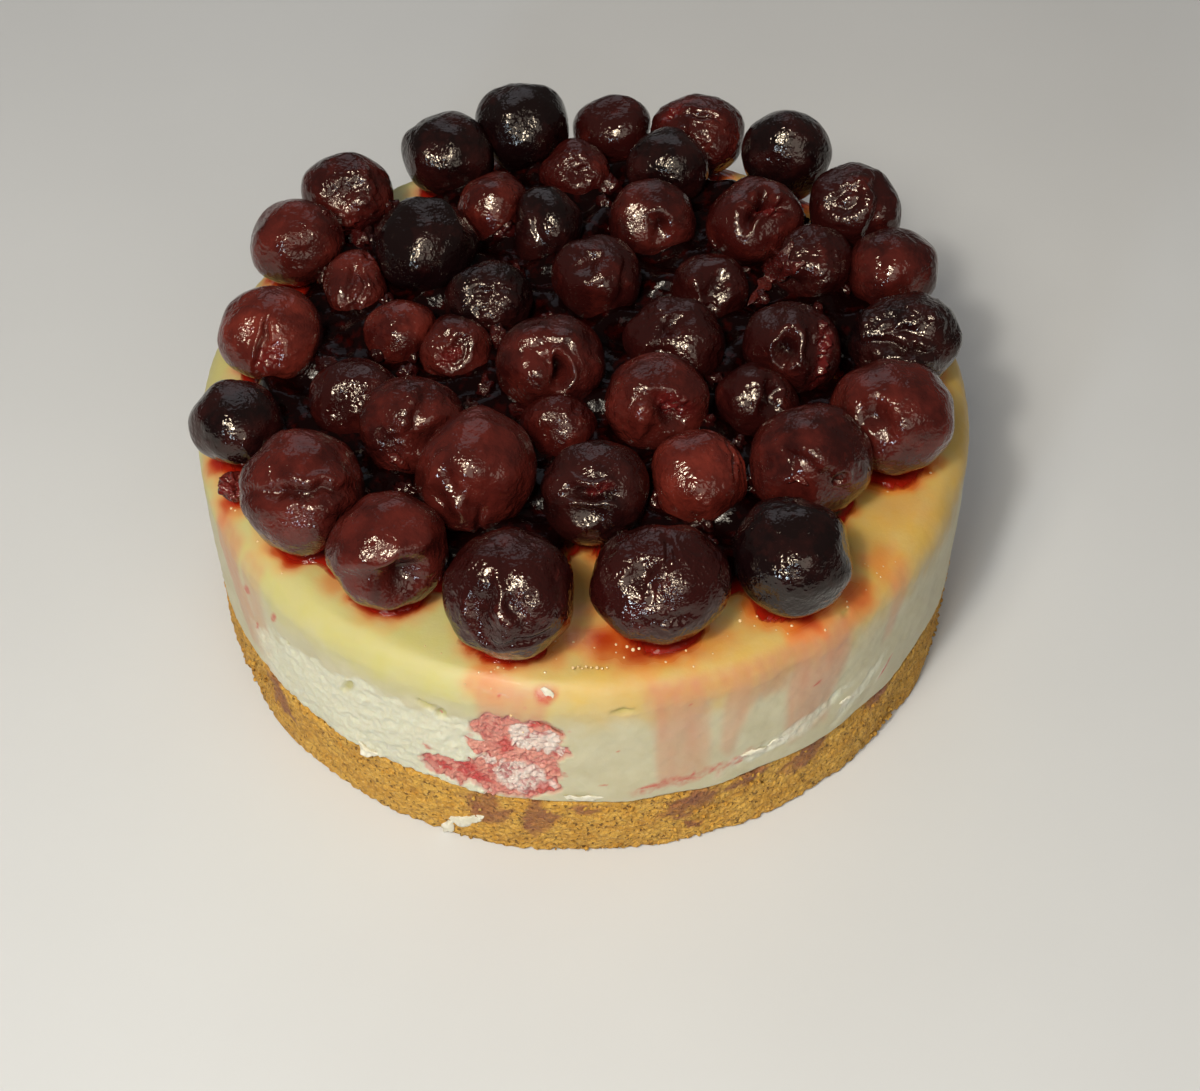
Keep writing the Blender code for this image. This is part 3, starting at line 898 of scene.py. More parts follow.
# %% Fields on the top
foot_gap = foot_distance(cream_points) + 0.8 * wander
upper = smooth_step(CAKE_HEIGHT - 6 * MM, CAKE_HEIGHT - 3 * MM, height)
runs = np.zeros(len(cream_points))
for pixel, half, strength in RUNS:
    apart = plan_distance(cream_points, pixel) + 0.8 * wander
    runs = np.maximum(runs, strength * (1 - smooth_step(0.1 * half * MM, 1.1 * half * MM, apart)))
from_axis = np.hypot(cream_points[:, 0], cream_points[:, 1])
inside_pool = smooth_step(1 * MM, 6 * MM, fruit_rim(cream_points) - from_axis)
amber = smooth_step(-0.3, 0.1, np.sin(along / CAKE_RADIUS))
red = np.maximum(1 - smooth_step(-0.5 * MM, 2.6 * MM, foot_gap), 0.8 * runs**3) * upper
near_fruit = (1 - smooth_step(0.8 * MM, 5 * MM, foot_gap)) * (0.6 + 0.4 * amber)
at_foot = 1 - smooth_step(0.5 * MM, 2.2 * MM, foot_gap)
orange = most((near_fruit, at_foot, runs, 0.6 * inside_pool)) * upper
for pixel in PAINTED_LIGHT_GAPS:
    painted_light_keep = 1 - 0.5 * (1 - smooth_step(1 * MM, 4 * MM, plan_distance(cream_points, pixel)))
    orange *= painted_light_keep
    red *= painted_light_keep
yellow = smooth_step(CAKE_HEIGHT - 13 * MM, CAKE_HEIGHT - 1 * MM, height + 1.2 * wander)
level_top = smooth_step(CAKE_HEIGHT - 0.9 * MM, CAKE_HEIGHT - 0.1 * MM, height)
wetness = 0.12 * drips + np.maximum(orange, 0.25) * level_top - 0.6 * torn
print("points that are orange", int((orange > 0.5).sum()), "and red", int((red > 0.5).sum()))

# %% The cream's mesh
cream = mesh_piece("cream_filling", cream_points, *turned_faces(len(profile) - 2, CREAM_COLUMNS))
paint(cream, drips=drips, curds=curds, flecks=flecks, holes=holes, flakes=flakes, torn=torn,
      red=red, orange=orange, yellow=yellow, amber=amber, wetness=wetness)
print("cream faces", len(cream.data.polygons))

# %% [markdown]
# ## The cream's finish
# The side is satin and pale, a little grey and green rather than white. Syrup tints it salmon and makes it
# wetter, so each stain also lowers the roughness. The top is a custard yellow under a clear wet film.

# %% Cream finish


def cream_finish():
    """Pale side to yellow top by height, tinted by each field in turn, rougher where torn and glossier where
    wet."""
    finish = Finish("cream")
    mottle = finish.noise(5 * MM, 4).between(0.3, 0.7)
    grain = finish.noise(0.8 * MM, 4, 0.6)
    specks = finish.noise(1.1 * MM, 5, 0.7).between(0.42, 0.62)
    side = finish.mix(mottle, tint(188, 180, 148), tint(196, 189, 159))
    custard = finish.mix(finish.field("amber"), tint(190, 182, 116), tint(200, 164, 82))
    colour = finish.mix(finish.field("yellow") * (0.8 + mottle * 0.2), side, custard)
    drips = finish.field("drips")
    colour = finish.mix(drips * (0.7 + mottle * 0.15), colour, tint(194, 130, 98))
    orange = finish.field("orange")
    colour = finish.mix(orange * (0.75 + mottle * 0.15), colour, tint(220, 106, 30))
    colour = finish.mix(finish.field("red"), colour, tint(158, 28, 8))
    torn = finish.field("torn")
    colour = finish.mix(torn * (0.65 + specks * 0.2), colour, tint(211, 210, 190))
    colour = finish.mix(finish.field("curds").between(0.15, 0.5) * 0.6, colour, tint(196, 110, 104))
    colour = finish.mix(finish.field("flakes") * 0.6, colour, tint(222, 218, 200))
    colour = finish.mix(finish.field("flecks") * (0.6 + specks * 0.3), colour, tint(190, 66, 52))
    # Painted shade: each hole, which the relief sinks in, is coloured darker and yellower than the side.
    colour = finish.mix(finish.field("holes") * 0.7, colour, tint(172, 162, 84))
    wet = finish.field("wetness")
    finish.shade({
        "Base Color": colour,
        "Roughness": 0.52 - wet * 0.36 + torn * 0.15,
        "Coat Weight": wet * 0.5,
        "Coat Roughness": 0.08,
        "Normal": finish.bump(grain * (0.5 + torn), 0.18 * MM, 0.5),
        "Subsurface Weight": 0.3,
        "Subsurface Radius": (1.0, 0.65, 0.35),
        "Subsurface Scale": 3.5 * MM,
    })
    return finish.made


cream.data.materials.append(cream_finish())
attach(cream, "root")
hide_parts("filling")
print("cream dressed")

# %% [markdown]
# ## Torn curds
# At the front some cream came away with the mould, and syrup soaked into the torn place: salmon and white
# curds with red crevices. A coloured bump would look printed on, so this is a thin sheet of its own with real
# lumps. A lump is the cell around a random seed, and a crevice runs where two seeds are equally near. Past
# the torn place the sheet dips under the cream's surface and is hidden.

# %% Places in the torn curds
CURD_MIDDLE = (491, 758)
CURD_HALF = np.array((16.5, 14)) * MM
CURD_COLUMNS = 380
CURD_RINGS = 96
CURD_SUNK = 1.1 * MM
WHITE_CURDS = (
    # pixel, half length and half height in mm
    ((527, 741), 3.6, 3.4), ((522, 780), 5.0, 5.2), ((550, 746), 2.0, 4.0), ((488, 762), 1.6, 1.4),
)
RED_CURDS = (
    ((539, 728), 2.2, 2.2), ((544, 792), 2.4, 2.4), ((464, 767), 2.2, 1.6),
    ((505, 750), 1.2, 3.0), ((475, 780), 2.6, 1.6), ((440, 766), 1.6, 1.2),
)


def cells(places, size, seed):
    """Cells around random seeds on a flat sheet: each place's distance from the crevice in sizes, which is
    the difference between its two nearest seeds' distances, and the random number of its cell."""
    draw = np.random.default_rng(seed)
    low, high = places.min(0), places.max(0)
    seeds = draw.uniform(low, high, (int(np.prod((high - low) / size)), 2))
    squares = (places**2).sum(1)[:, None] + (seeds**2).sum(1) - 2 * places @ seeds.T
    nearest = np.sqrt(np.maximum(np.partition(squares, 1, axis=1)[:, :2], 0))
    return (nearest[:, 1] - nearest[:, 0]) / size, draw.random(len(seeds))[squares.argmin(1)]


print(len(WHITE_CURDS), "white and", len(RED_CURDS), "red places")

# %% The sheet laid on the side
# A round sheet with a hidden back: its rows are (share of the half size, 0 on the face or -1 on the back).
curd_rows = [(0, -1), (0.6, -1), (1, -1)] + [(r, 0) for r in np.linspace(1, 0, CURD_RINGS)]
curd_grid = turned_points(curd_rows, CURD_COLUMNS)
curd_along, curd_height = (curd_grid[:, :2] * CURD_HALF + on_side(CURD_MIDDLE)).T
curd_height = np.maximum(curd_height, BASE_HEIGHT + TOUCH_GAP)
nothing = 0 * curd_along
curd_way = np.stack((np.sin(curd_along / CAKE_RADIUS), -np.cos(curd_along / CAKE_RADIUS), nothing), 1)
level = np.stack((nothing, nothing, curd_height), 1)
curd_skin = curd_way * CREAM_RADIUS + level
curd_cover = smooth_step(0.3, 0.5, curd_area(curd_skin, curd_along, curd_height))
print("share of the sheet that shows", np.round((curd_cover > 0.5).mean(), 2))

# %% Lumps and crevices
flat = np.stack((curd_along + 0.45 * MM * rough(curd_skin, 2.4 * MM, 66, 2),
                 curd_height + 0.45 * MM * rough(curd_skin, 2.4 * MM, 68, 2)), 1)
lump, lump_tone = cells(flat, 2.6 * MM, 63)
crumb, crumb_tone = cells(flat, 1.0 * MM, 64)
comes = smooth_step(-0.5, 0.9, waves(curd_skin, 4 * MM, 67))
relief = 0.45 * smooth_step(0, 0.6, lump) * (0.3 + 0.7 * lump_tone)
relief += 0.35 * smooth_step(0, 0.7, crumb) * crumb_tone
relief += 0.12 * rough(curd_skin, 1.2 * MM, 69, 2)
curd_out = CREAM_RADIUS - CURD_SUNK * (1 - curd_cover) + curd_cover * (relief - 0.65) * MM
curd_out -= 0.6 * MM * (curd_grid[:, 2] < -0.5)
curd_sheet = mesh_piece("torn_curds", curd_way * curd_out[:, None] + level,
                        *turned_faces(len(curd_rows) - 2, CURD_COLUMNS))
curd_wander = 0.6 * MM * waves(curd_skin, 3 * MM, 65)
white = most(spot(curd_along + curd_wander, curd_height - curd_wander, *row) for row in WHITE_CURDS)
crimson = most(spot(curd_along - curd_wander, curd_height + curd_wander, *row) for row in RED_CURDS)
paint(curd_sheet, white=white, crimson=crimson, tone=lump_tone * 0.5 + crumb_tone * 0.5,
      crevice=(1 - smooth_step(0.02, 0.25, lump)) * (0.25 + 0.75 * comes),
      chink=(1 - smooth_step(0.0, 0.4, crumb)) * comes)
print("curds stand out by up to", np.round((curd_out.max() - CREAM_RADIUS) / MM, 2), "mm")

# %% [markdown]
# ## The curds' finish
# Soaked curds go from white through salmon to red. One noise could colour them, but then a lump and its
# colour would not agree. Here the colour reads the same cells that made the lumps, so each curd has its own
# tone.

# %% Curd finish


def curd_finish():
    """Salmon to white curds, each cell in its own tone, redder in the crevices and in the soaked places."""
    finish = Finish("torn_curds")
    grain = finish.noise(0.5 * MM, 3, 0.6)
    tone = (finish.field("tone") * 0.7 + grain * 0.3).clipped()
    salmon = finish.mix(tone, tint(182, 104, 94), tint(208, 152, 134))
    pale = finish.mix(tone, tint(198, 172, 160), tint(218, 207, 198))
    colour = finish.mix(finish.field("white").between(0.2, 0.6), salmon, pale)
    colour = finish.mix(finish.field("chink") * 0.35, colour, tint(180, 80, 80))
    colour = finish.mix(finish.field("crevice") * 0.7, colour, tint(148, 44, 52))
    colour = finish.mix(finish.field("crimson") * (0.4 + grain * 0.6), colour, tint(172, 38, 38))
    finish.shade({
        "Base Color": colour,
        "Roughness": 0.32 + grain * 0.2,
        "Normal": finish.bump(grain, 0.15 * MM, 0.5),
        "Subsurface Weight": 0.12,
        "Subsurface Radius": (1.0, 0.5, 0.4),
        "Subsurface Scale": 1.5 * MM,
    })
    return finish.made


curd_sheet.data.materials.append(curd_finish())
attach(curd_sheet, "root")
print("curds dressed")

# %% [markdown]
# ## The crumb base
# Pressed biscuit crumbs: golden brown, dry, full of small pits and dark specks, with a ragged lower edge and
# purple-brown patches where syrup soaked in. Crumbs of a millimetre are real relief here, and finer ones are
# a bump, because the edge of the base is seen against the floor. Grains alone would need far more faces.

# %% The base's shape
BASE_COLUMNS = 900
BASE_RADIUS = CAKE_RADIUS - 0.45 * MM
WORN_EDGE = 1.2 * MM
SOAKED = (
    # pixel of the middle, half length and half height in mm, turn in degrees
    ((487, 810), 4.4, 4.6, 0), ((536, 816), 2.9, 6.5, 0), ((690, 806), 6.0, 3.4, 12),
    ((693, 826), 1.3, 3.0, 0), ((806, 758), 5.5, 3.0, 28), ((879, 697), 3.6, 2.2, 45),
    ((280, 698), 6.0, 3.6, -55), ((585, 812), 3.0, 1.6, 0), ((752, 778), 5.0, 2.0, 20),
)
MOST_WORN = 1.3 * MM
MOST_PROUD = 0.5 * MM


def base_profile():
    """Flat underside, a worn lower edge, an upright side and a flat top under the cream."""
    rows = [(0, 0), (50 * MM, 0), (72 * MM, 0), (BASE_RADIUS - WORN_EDGE, 0)]
    rows += [(BASE_RADIUS - 0.4 * WORN_EDGE, 0.25 * WORN_EDGE)]
    rows += [(BASE_RADIUS, z) for z in np.linspace(0.7 * WORN_EDGE, BASE_HEIGHT - 0.5 * MM, 50)]
    rows += [(BASE_RADIUS - 0.4 * MM, BASE_HEIGHT), (BASE_RADIUS - 2 * MM, BASE_HEIGHT)]
    return rows + [(50 * MM, BASE_HEIGHT), (0, BASE_HEIGHT)]


base_rows = base_profile()
base_points = turned_points(base_rows, BASE_COLUMNS)
base_reach = np.hypot(base_points[:, 0], base_points[:, 1])
rim = smooth_step(BASE_RADIUS - 2.2 * MM, BASE_RADIUS - 0.6 * MM, base_reach)
base_along = np.arctan2(base_points[:, 0], -base_points[:, 1]) * CAKE_RADIUS
base_wander = 0.8 * MM * rough(base_points, 6 * MM, 41)
soaked = most(spot(base_along + base_wander, base_points[:, 2] + base_wander, *row) for row in SOAKED) * rim
crumbs = rough(base_points, 1.9 * MM, 42, 2)
ragged = 1 + 0.5 * (1 - smooth_step(0, 3 * MM, base_points[:, 2]))
base_push = 0.30 * MM * waves(base_points, 16 * MM, 43) + 0.11 * MM * crumbs * ragged
base_push = np.clip(base_push * rim, -MOST_WORN, MOST_PROUD)
base_points = base_points + outwards(base_points) * base_push[:, None]

biscuit = mesh_piece("crumb_base", base_points, *turned_faces(len(base_rows) - 2, BASE_COLUMNS))
paint(biscuit, soaked=soaked)
print("base faces", len(biscuit.data.polygons))

# %% [markdown]
# ## The biscuit's finish
# Broken biscuit has pale grains, darker chinks between them and darker pits, where the darkness is painted
# shade, and the pits stand for a few burnt specks too. One brown noise would look like cork, so grains come
# from Voronoi cells and finer ones from noise, and both feed colour and bump alike.

# %% Biscuit finish


def biscuit_finish():
    """Golden crumb between two browns by noise, with grains, soaked patches, and painted shade in the chinks
    and
    dark pits. A grain is a Voronoi cell: its distance is 0 in the grain's middle and grows towards its
    neighbours."""
    finish = Finish("biscuit")
    mottle = finish.noise(4 * MM, 4).between(0.3, 0.7)
    grain = finish.noise(0.45 * MM, 4, 0.6)
    cell = finish.node("ShaderNodeTexVoronoi", {}, {"Vector": finish.place, "Scale": 1 / (1.1 * MM)})
    pits = finish.noise(0.8 * MM, 2, 0.5).between(0.6, 0.7)
    colour = finish.mix(mottle, tint(204, 148, 52), tint(220, 170, 74))
    colour = finish.mix(grain.between(0.52, 0.72) * 0.65, colour, tint(232, 198, 130))
    # Painted shade: darker towards each grain's edge and in the pits, the same places that the bump sinks.
    colour = finish.mix(cell.between(0.45, 0.8) * 0.4, colour, tint(140, 92, 38))
    colour = finish.mix(pits * 0.75, colour, tint(98, 62, 26))
    colour = finish.mix(finish.field("soaked") * (0.6 + mottle * 0.25), colour, tint(134, 68, 52))
    finish.shade({
        "Base Color": colour,
        "Roughness": 0.86 - finish.field("soaked") * 0.3,
        "Normal": finish.bump(grain + finish.noise(1.6 * MM, 3) - cell * 0.8 - pits, 0.6 * MM, 1.0),
    })
    return finish.made


biscuit.data.materials.append(biscuit_finish())
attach(biscuit, "root")
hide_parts("base")
print("base dressed")

# %% [markdown]
# ## The syrup
# Red syrup fills the hollows between the cherries and climbs their feet. It is nearly black where it is
# deep, which also paints the shade in the gaps between the cherries, and orange-red where it thins out. A
# closed sheet follows a height field: deep where fruit crowds, with a small rim up each foot, and sunk into
# the cream where there is none.

# %% The syrup's shape
SYRUP_COLUMNS = 420
SYRUP_ROWS = 120
SYRUP_REACH = 71.5 * MM
POOL_DEPTH = 7.0 * MM
CLIMB = 1.5 * MM
SUNK = 0.35 * MM
EDGE_HEIGHT = CAKE_HEIGHT - 1.2 * MM
DARK_DEPTH = 2.2 * MM
COVERING_DEPTH = 0.35 * MM
BARE_SPOTS = (
    # pixel of a place between cherries where cream shows, half width in mm
    ((586, 566), 5.5), ((584, 590), 6.5), ((586, 612), 5.0), ((828, 386), 4.5),
)


def syrup_depth(points):
    """Depth above the cream, below 0 where there is none."""
    drift = 0.5 * MM * waves(points, 7 * MM, 51)
    gap = foot_distance(points) + drift
    outward = np.hypot(points[:, 0], points[:, 1])
    inside = smooth_step(3 * MM, 10 * MM, fruit_rim(points) - outward + drift)
    depth = inside * (POOL_DEPTH + 0.8 * MM * waves(points, 8 * MM, 53))
    depth += 0.06 * MM * waves(points, 3 * MM, 52)
    depth += CLIMB * np.exp(-np.maximum(gap, 0) / (0.9 * MM))
    for pixel, half in BARE_SPOTS:
        depth *= smooth_step(0.5 * half * MM, half * MM, plan_distance(points, pixel))
    return depth * (1 - smooth_step(67 * MM, SYRUP_REACH, outward)) - SUNK


syrup_rows = [(0, EDGE_HEIGHT), (SYRUP_REACH, EDGE_HEIGHT)]
syrup_rows += [(r, CAKE_HEIGHT) for r in np.linspace(SYRUP_REACH, 0, SYRUP_ROWS)]
syrup_points = turned_points(syrup_rows, SYRUP_COLUMNS)
open_face = syrup_points[:, 2] > CAKE_HEIGHT - 0.5 * MM
depth = syrup_depth(syrup_points)
syrup_points[open_face, 2] += depth[open_face]
syrup = mesh_piece("syrup", syrup_points, *turned_faces(len(syrup_rows) - 2, SYRUP_COLUMNS))
depth_shown = np.where(open_face, depth, 0)
paint(syrup, thick=depth_shown / DARK_DEPTH, cover=depth_shown / COVERING_DEPTH)
print("syrup and its rims stand up to", np.round(depth.max() / MM, 1), "mm above the cream")

# %% [markdown]
# ## The syrup's finish
# Real syrup is clear and takes its depth of colour from how far light travels in it. Glass with absorption
# would be the true way, but it is slow and noisy, so the depth at each point mixes thin red into near black,
# and the film fades out where it is thinnest. The near black is also painted shade for the gaps between the
# cherries.

# %% Syrup finish


def syrup_finish():
    """Orange-red where thin, nearly black where deep, partly as painted shade, clear at its edge, wet all
    over.
    """
    finish = Finish("syrup")
    ripples = finish.noise(2.2 * MM, 3)
    thick = (finish.field("thick") + ripples * 0.25 - 0.12).clipped()
    # Near black where deep: the syrup's own colour, and also painted shade of the gaps between the cherries.
    colour = finish.mix(thick, tint(150, 26, 10), tint(12, 2, 2))
    finish.shade({
        "Base Color": colour,
        "Alpha": finish.field("cover"),
        "Roughness": 0.06 + ripples * 0.08,
        "Normal": finish.bump(ripples, 0.4 * MM, 0.7),
        "IOR": 1.22,
    })
    return finish.made


syrup.data.materials.append(syrup_finish())
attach(syrup, "root")
print("syrup dressed")

# %% [markdown]
# ## Small pieces
# Crumbs, torn flakes of cream, shreds of cherry skin, bits of pulp and beads of syrup are real bits lying on
# the cake, so they are meshes too. Each kind is one piece: a small ball with few faces is copied to many
# places with its own size, turn and lumpiness, and shreds are flattened tubes carried along short paths.

# %% Balls scattered in one piece


def bead(columns, rows):
    """A unit ball of few faces: a turned half circle with a pole at each end."""
    turn = np.linspace(-math.pi / 2, math.pi / 2, rows + 2)
    profile = [(math.cos(t), math.sin(t)) for t in turn]
    return turned_points(profile, columns), turned_faces(rows, columns)


def scattered(shape, middles, sizes, lumpiness, seed):
    """Copies of a unit shape: each point is moved in or out at random, the copy is scaled along three axes
    of its own, turned at random and set on its middle."""
    grid, faces = shape
    draw = np.random.default_rng(seed)
    turns = np.linalg.qr(draw.normal(size=(len(middles), 3, 3)))[0]
    turns[:, :, 2] *= np.sign(np.linalg.det(turns))[:, None]
    swell = 1 + lumpiness * draw.normal(size=(len(middles), len(grid), 1))
    local = grid[None] * swell * sizes[:, None]
    points = np.einsum("nij,npj->npi", turns, local) + middles[:, None]
    step = (np.arange(len(middles)) * len(grid))[:, None, None]
    return points.reshape(-1, 3), [(group[None] + step).reshape(-1, group.shape[1]) for group in faces]


print("a crumb has", sum(len(group) for group in bead(8, 3)[1]), "faces")

# %% Shreds joined in one piece


def blade(path, half_width, half_thick, up, seed, columns=14, rows=26):
    """A shred: an ellipse carried along a smooth path, tapering to a point at both ends, with wavy edges."""
    share = np.linspace(0, 1, rows + 2)
    knots = np.linspace(0, 1, len(path))
    line = np.stack([np.interp(share, knots, path[:, axis]) for axis in range(3)], 1)
    line[1:-1] = (line[:-2] + 2 * line[1:-1] + line[2:]) / 4
    ahead = np.gradient(line, axis=0)
    ahead /= np.linalg.norm(ahead, axis=1, keepdims=True)
    across = np.cross(up, ahead)
    across /= np.linalg.norm(across, axis=1, keepdims=True)
    lift = np.cross(ahead, across)
    taper = np.sin(np.pi * np.clip(share, 0, 1)) ** 0.6
    wide = half_width * taper * (1 + 0.25 * waves(line, 3 * MM, seed))
    curl = 0.35 * half_width * waves(line, 5 * MM, seed + 1)
    angle = np.arange(columns) * 2 * math.pi / columns
    side = across[:, None] * (np.cos(angle)[None, :, None] * wide[:, None, None])
    thick = lift[:, None] * (np.sin(angle)[None, :, None] * (half_thick * taper)[:, None, None])
    bend = lift[:, None] * (np.cos(angle) ** 2)[None, :, None] * (curl * taper)[:, None, None]
    rings = line[:, None] + side + thick + bend
    points = np.concatenate((line[:1], rings[1:-1].reshape(-1, 3), line[-1:]))
    return points, turned_faces(rows, columns)


def together(parts):
    """Joins several (points, faces) into one set of points and faces."""
    points, quads, triangles = [], [], []
    count = 0
    for part, (four, three) in parts:
        points.append(part)
        quads.append(four + count)
        triangles.append(three + count)
        count += len(part)
    return np.concatenate(points), np.concatenate(quads), np.concatenate(triangles)


print("a shred of 26 rings has", len(turned_faces(26, 14)[0]), "quads")

# %% [markdown]
# ## Loose crumbs
# Cutting and handling leave crumbs on the base and at its foot. They could come from a particle system, but
# that is live and hard to bake. Random places on the side, lower down for about a third of them, give the
# same look in one mesh, and each crumb has only a few dozen faces.

# %% Loose crumbs on the base and at its foot
CRUMB_COUNT = 900
LOW_SHARE = 0.3
LUMPINESS = 0.14
draw = np.random.default_rng(71)
around = draw.uniform(0, 2 * math.pi, CRUMB_COUNT)
low_down = draw.random(CRUMB_COUNT) < LOW_SHARE
up = np.where(low_down, draw.uniform(0.5, 2.5, CRUMB_COUNT), draw.uniform(1, 16, CRUMB_COUNT))
crumb_sizes = draw.uniform(0.2, 0.6, (CRUMB_COUNT, 1)) * draw.uniform(0.7, 1.2, (CRUMB_COUNT, 3)) * MM
stand = BASE_RADIUS - 0.15 * MM
crumb_middles = np.stack((stand * np.sin(around), -stand * np.cos(around), up * MM), 1)
crumb_points, crumb_faces = scattered(bead(8, 3), crumb_middles, crumb_sizes, LUMPINESS, 72)
# No crumb goes below the floor.
crumb_points[:, 2] = np.maximum(crumb_points[:, 2], 0.02 * MM)
loose = mesh_piece("loose_crumbs", crumb_points, *crumb_faces)
loose.data.materials.append(biscuit.data.materials[0])
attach(loose, "root")
print("crumbs", CRUMB_COUNT, "of which low down", int(low_down.sum()))

# %% [markdown]
# ## Scraps of cream
# Small chips of cream cling to the torn strip, and a smear lies across the base. A bump would not stand off
# the side, so each is a thin shred along a few pixels, partly sunk in what carries it, with a crumpled face.

# %% Torn flakes and a smear of cream


def by_side(pixel, out):
    """A point on the side, where a pixel's line meets it, moved outwards."""
    point = side_point(pixel)
    return point + outwards(point[None])[0] * out


TORN_FLAKES = (
    # pixels along a flake, half width and half thickness in mm
    (((357, 742), (366, 750), (379, 757)), 1.0, 0.45), (((741, 757), (755, 753), (768, 748)), 0.8, 0.4),
    (((768, 747), (776, 741), (786, 740)), 0.5, 0.25), (((840, 705), (848, 699), (856, 695)), 0.4, 0.25),
    (((540, 690), (546, 694), (553, 699)), 1.1, 0.3), (((562, 797), (585, 799), (606, 798)), 0.5, 0.3),
)
SMEAR_PATHS = (
    (((443, 833), (449, 826), (453, 819)), 1.0, 0.5), (((447, 820), (464, 822), (484, 817)), 1.1, 0.5),
)
SCRAP_SUNK = 0.25 * MM
SCRAP_MARGIN = 0.1 * MM

flakes_made = []
for number, (pixels, half_wide, half_thick) in enumerate(TORN_FLAKES + SMEAR_PATHS):
    path = np.array([by_side(pixel, -SCRAP_SUNK) for pixel in pixels])
    outward = outwards(path[:1])[0]
    flakes_made.append(blade(path, half_wide * MM, half_thick * MM, outward, 80 + 2 * number))
flake_points, flake_quads, flake_triangles = together(flakes_made)
flake_points += 0.08 * MM * rough(flake_points, 1.2 * MM, 79, 2)[:, None] * outwards(flake_points)
# A scrap may not stand out of the solids' box.
flake_points = np.clip(flake_points, np.array(cad_low) + SCRAP_MARGIN, np.array(cad_high) - SCRAP_MARGIN)
flake = mesh_piece("torn_flakes", flake_points, flake_quads, flake_triangles)
print("flakes", len(flakes_made))

# %% The scraps' finish


def flake_finish():
    """The white inside of the cream, faintly mottled and moist."""
    finish = Finish("torn_cream")
    mottle = finish.noise(1.5 * MM, 4).between(0.3, 0.7)
    colour = finish.mix(mottle, tint(206, 200, 178), tint(222, 217, 202))
    finish.shade({"Base Color": colour, "Roughness": 0.6, "Normal": finish.bump(mottle, 0.12 * MM, 0.4)})
    return finish.made


flake.data.materials.append(flake_finish())
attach(flake, "root")
print("flakes dressed")

# %% [markdown]
# ## Shreds of skin
# Loose skin lies over some cherries like wet paper. Cloth simulation could drape it, but a line of sight does
# it at once: points along a few pixels are carried to the fruit below them and lifted by a hair.

# %% Shreds of cherry skin
DRAPE_STEPS = 12
DRAPE_LIFT = 0.4 * MM


def on_fruit(pixel):
    """Where a pixel's line first meets a cherry, taken as a ball, or else the syrup between them."""
    ray = sight(pixel)
    ahead = (fruit_middles - EYE) @ ray
    aside = np.linalg.norm(EYE + ahead[:, None] * ray - fruit_middles, axis=1)
    met = np.flatnonzero(aside < fruit_radii)
    if len(met) == 0:
        return EYE + ray * ((CAKE_HEIGHT + POOL_DEPTH - EYE[2]) / ray[2])
    entry = ahead[met] - np.sqrt(fruit_radii[met] ** 2 - aside[met] ** 2)
    return EYE + ray * (entry.min() - DRAPE_LIFT)


def draped(pixels):
    """A path over the fruit: evenly spaced points along the pixels, each carried to the fruit."""
    pixels = np.array(pixels, float)
    steps = np.linspace(0, len(pixels) - 1, DRAPE_STEPS)
    line = np.stack([np.interp(steps, np.arange(len(pixels)), pixels[:, side]) for side in (0, 1)], 1)
    return np.array([on_fruit(pixel) for pixel in line])


SHREDS = (
    # pixels along a shred, half width and half thickness in mm
    (((794, 240), (782, 258), (768, 280), (747, 306)), 1.5, 0.35),
    (((806, 262), (790, 268), (778, 282)), 1.0, 0.3), (((770, 246), (782, 256), (793, 272)), 0.8, 0.3),
    (((322, 211), (338, 217), (356, 226), (371, 234)), 1.1, 0.25),
    (((330, 226), (345, 232), (362, 236)), 0.9, 0.25),
    (((384, 452), (396, 459), (410, 470)), 1.0, 0.3),
    (((388, 468), (400, 474), (411, 484)), 0.8, 0.3),
    (((416, 480), (432, 492), (452, 512)), 0.6, 0.22),
    (((786, 484), (796, 477), (808, 485)), 0.6, 0.2),
)
shreds_made = []
for number, (pixels, half_wide, half_thick) in enumerate(SHREDS):
    shreds_made.append(blade(draped(pixels), half_wide * MM, half_thick * MM, VIEW[:, 2], 110 + 2 * number))
shred = mesh_piece("torn_skins", *together(shreds_made))
same = np.ones(len(shred.data.vertices))
# The shreds' colour is darkened through the field that paints shade in the hollows; here it is only a darker
# tone.
paint(shred, sunken=0.35 * same, flesh=0.2 * same, wrinkled=same, pale=0.35 * same)
shred.data.materials.append(skins["cherry_ruby"])
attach(shred, "root")
print("shreds", len(SHREDS))

# %% [markdown]
# ## Pulp
# Torn bits of fruit float between the cherries. Random places would let some touch, so places are tried in
# turn and kept only where there is syrup, away from the cherries' feet and from the bits kept before. Each
# bit floats at the syrup's own height there.

# %% Pulp in the syrup
PULP_COUNT = 60
PULP_TRIES = 5000
PULP_APART = 5.5 * MM
FROM_RIM = 7 * MM
FROM_FEET = 1.6 * MM
CRUMPLED = 0.22
draw = np.random.default_rng(91)
tries = np.zeros((PULP_TRIES, 3))
tries[:, :2] = draw.uniform(-CAKE_RADIUS, CAKE_RADIUS, (PULP_TRIES, 2))
tries[:, 2] = CAKE_HEIGHT
inside = fruit_rim(tries) - np.hypot(tries[:, 0], tries[:, 1]) > FROM_RIM
tries = tries[inside & (foot_distance(tries) > FROM_FEET)]
chosen = []
for place in tries:
    apart_enough = all(math.hypot(*(place - other)[:2]) > PULP_APART for other in chosen)
    if apart_enough and len(chosen) < PULP_COUNT:
        chosen.append(place)
pulp_middles = np.array(chosen)
pulp_middles[:, 2] += syrup_depth(pulp_middles) + draw.uniform(-0.6, 0.8, len(chosen)) * MM
pulp_sizes = draw.uniform(1.3, 2.6, (len(chosen), 1)) * draw.uniform(0.6, 1.2, (len(chosen), 3)) * MM
pulp_shape = bead(18, 11)
pulp_points, pulp_faces = scattered(pulp_shape, pulp_middles, pulp_sizes, 0.0, 92)
from_middle = pulp_points - np.repeat(pulp_middles, len(pulp_shape[0]), 0)
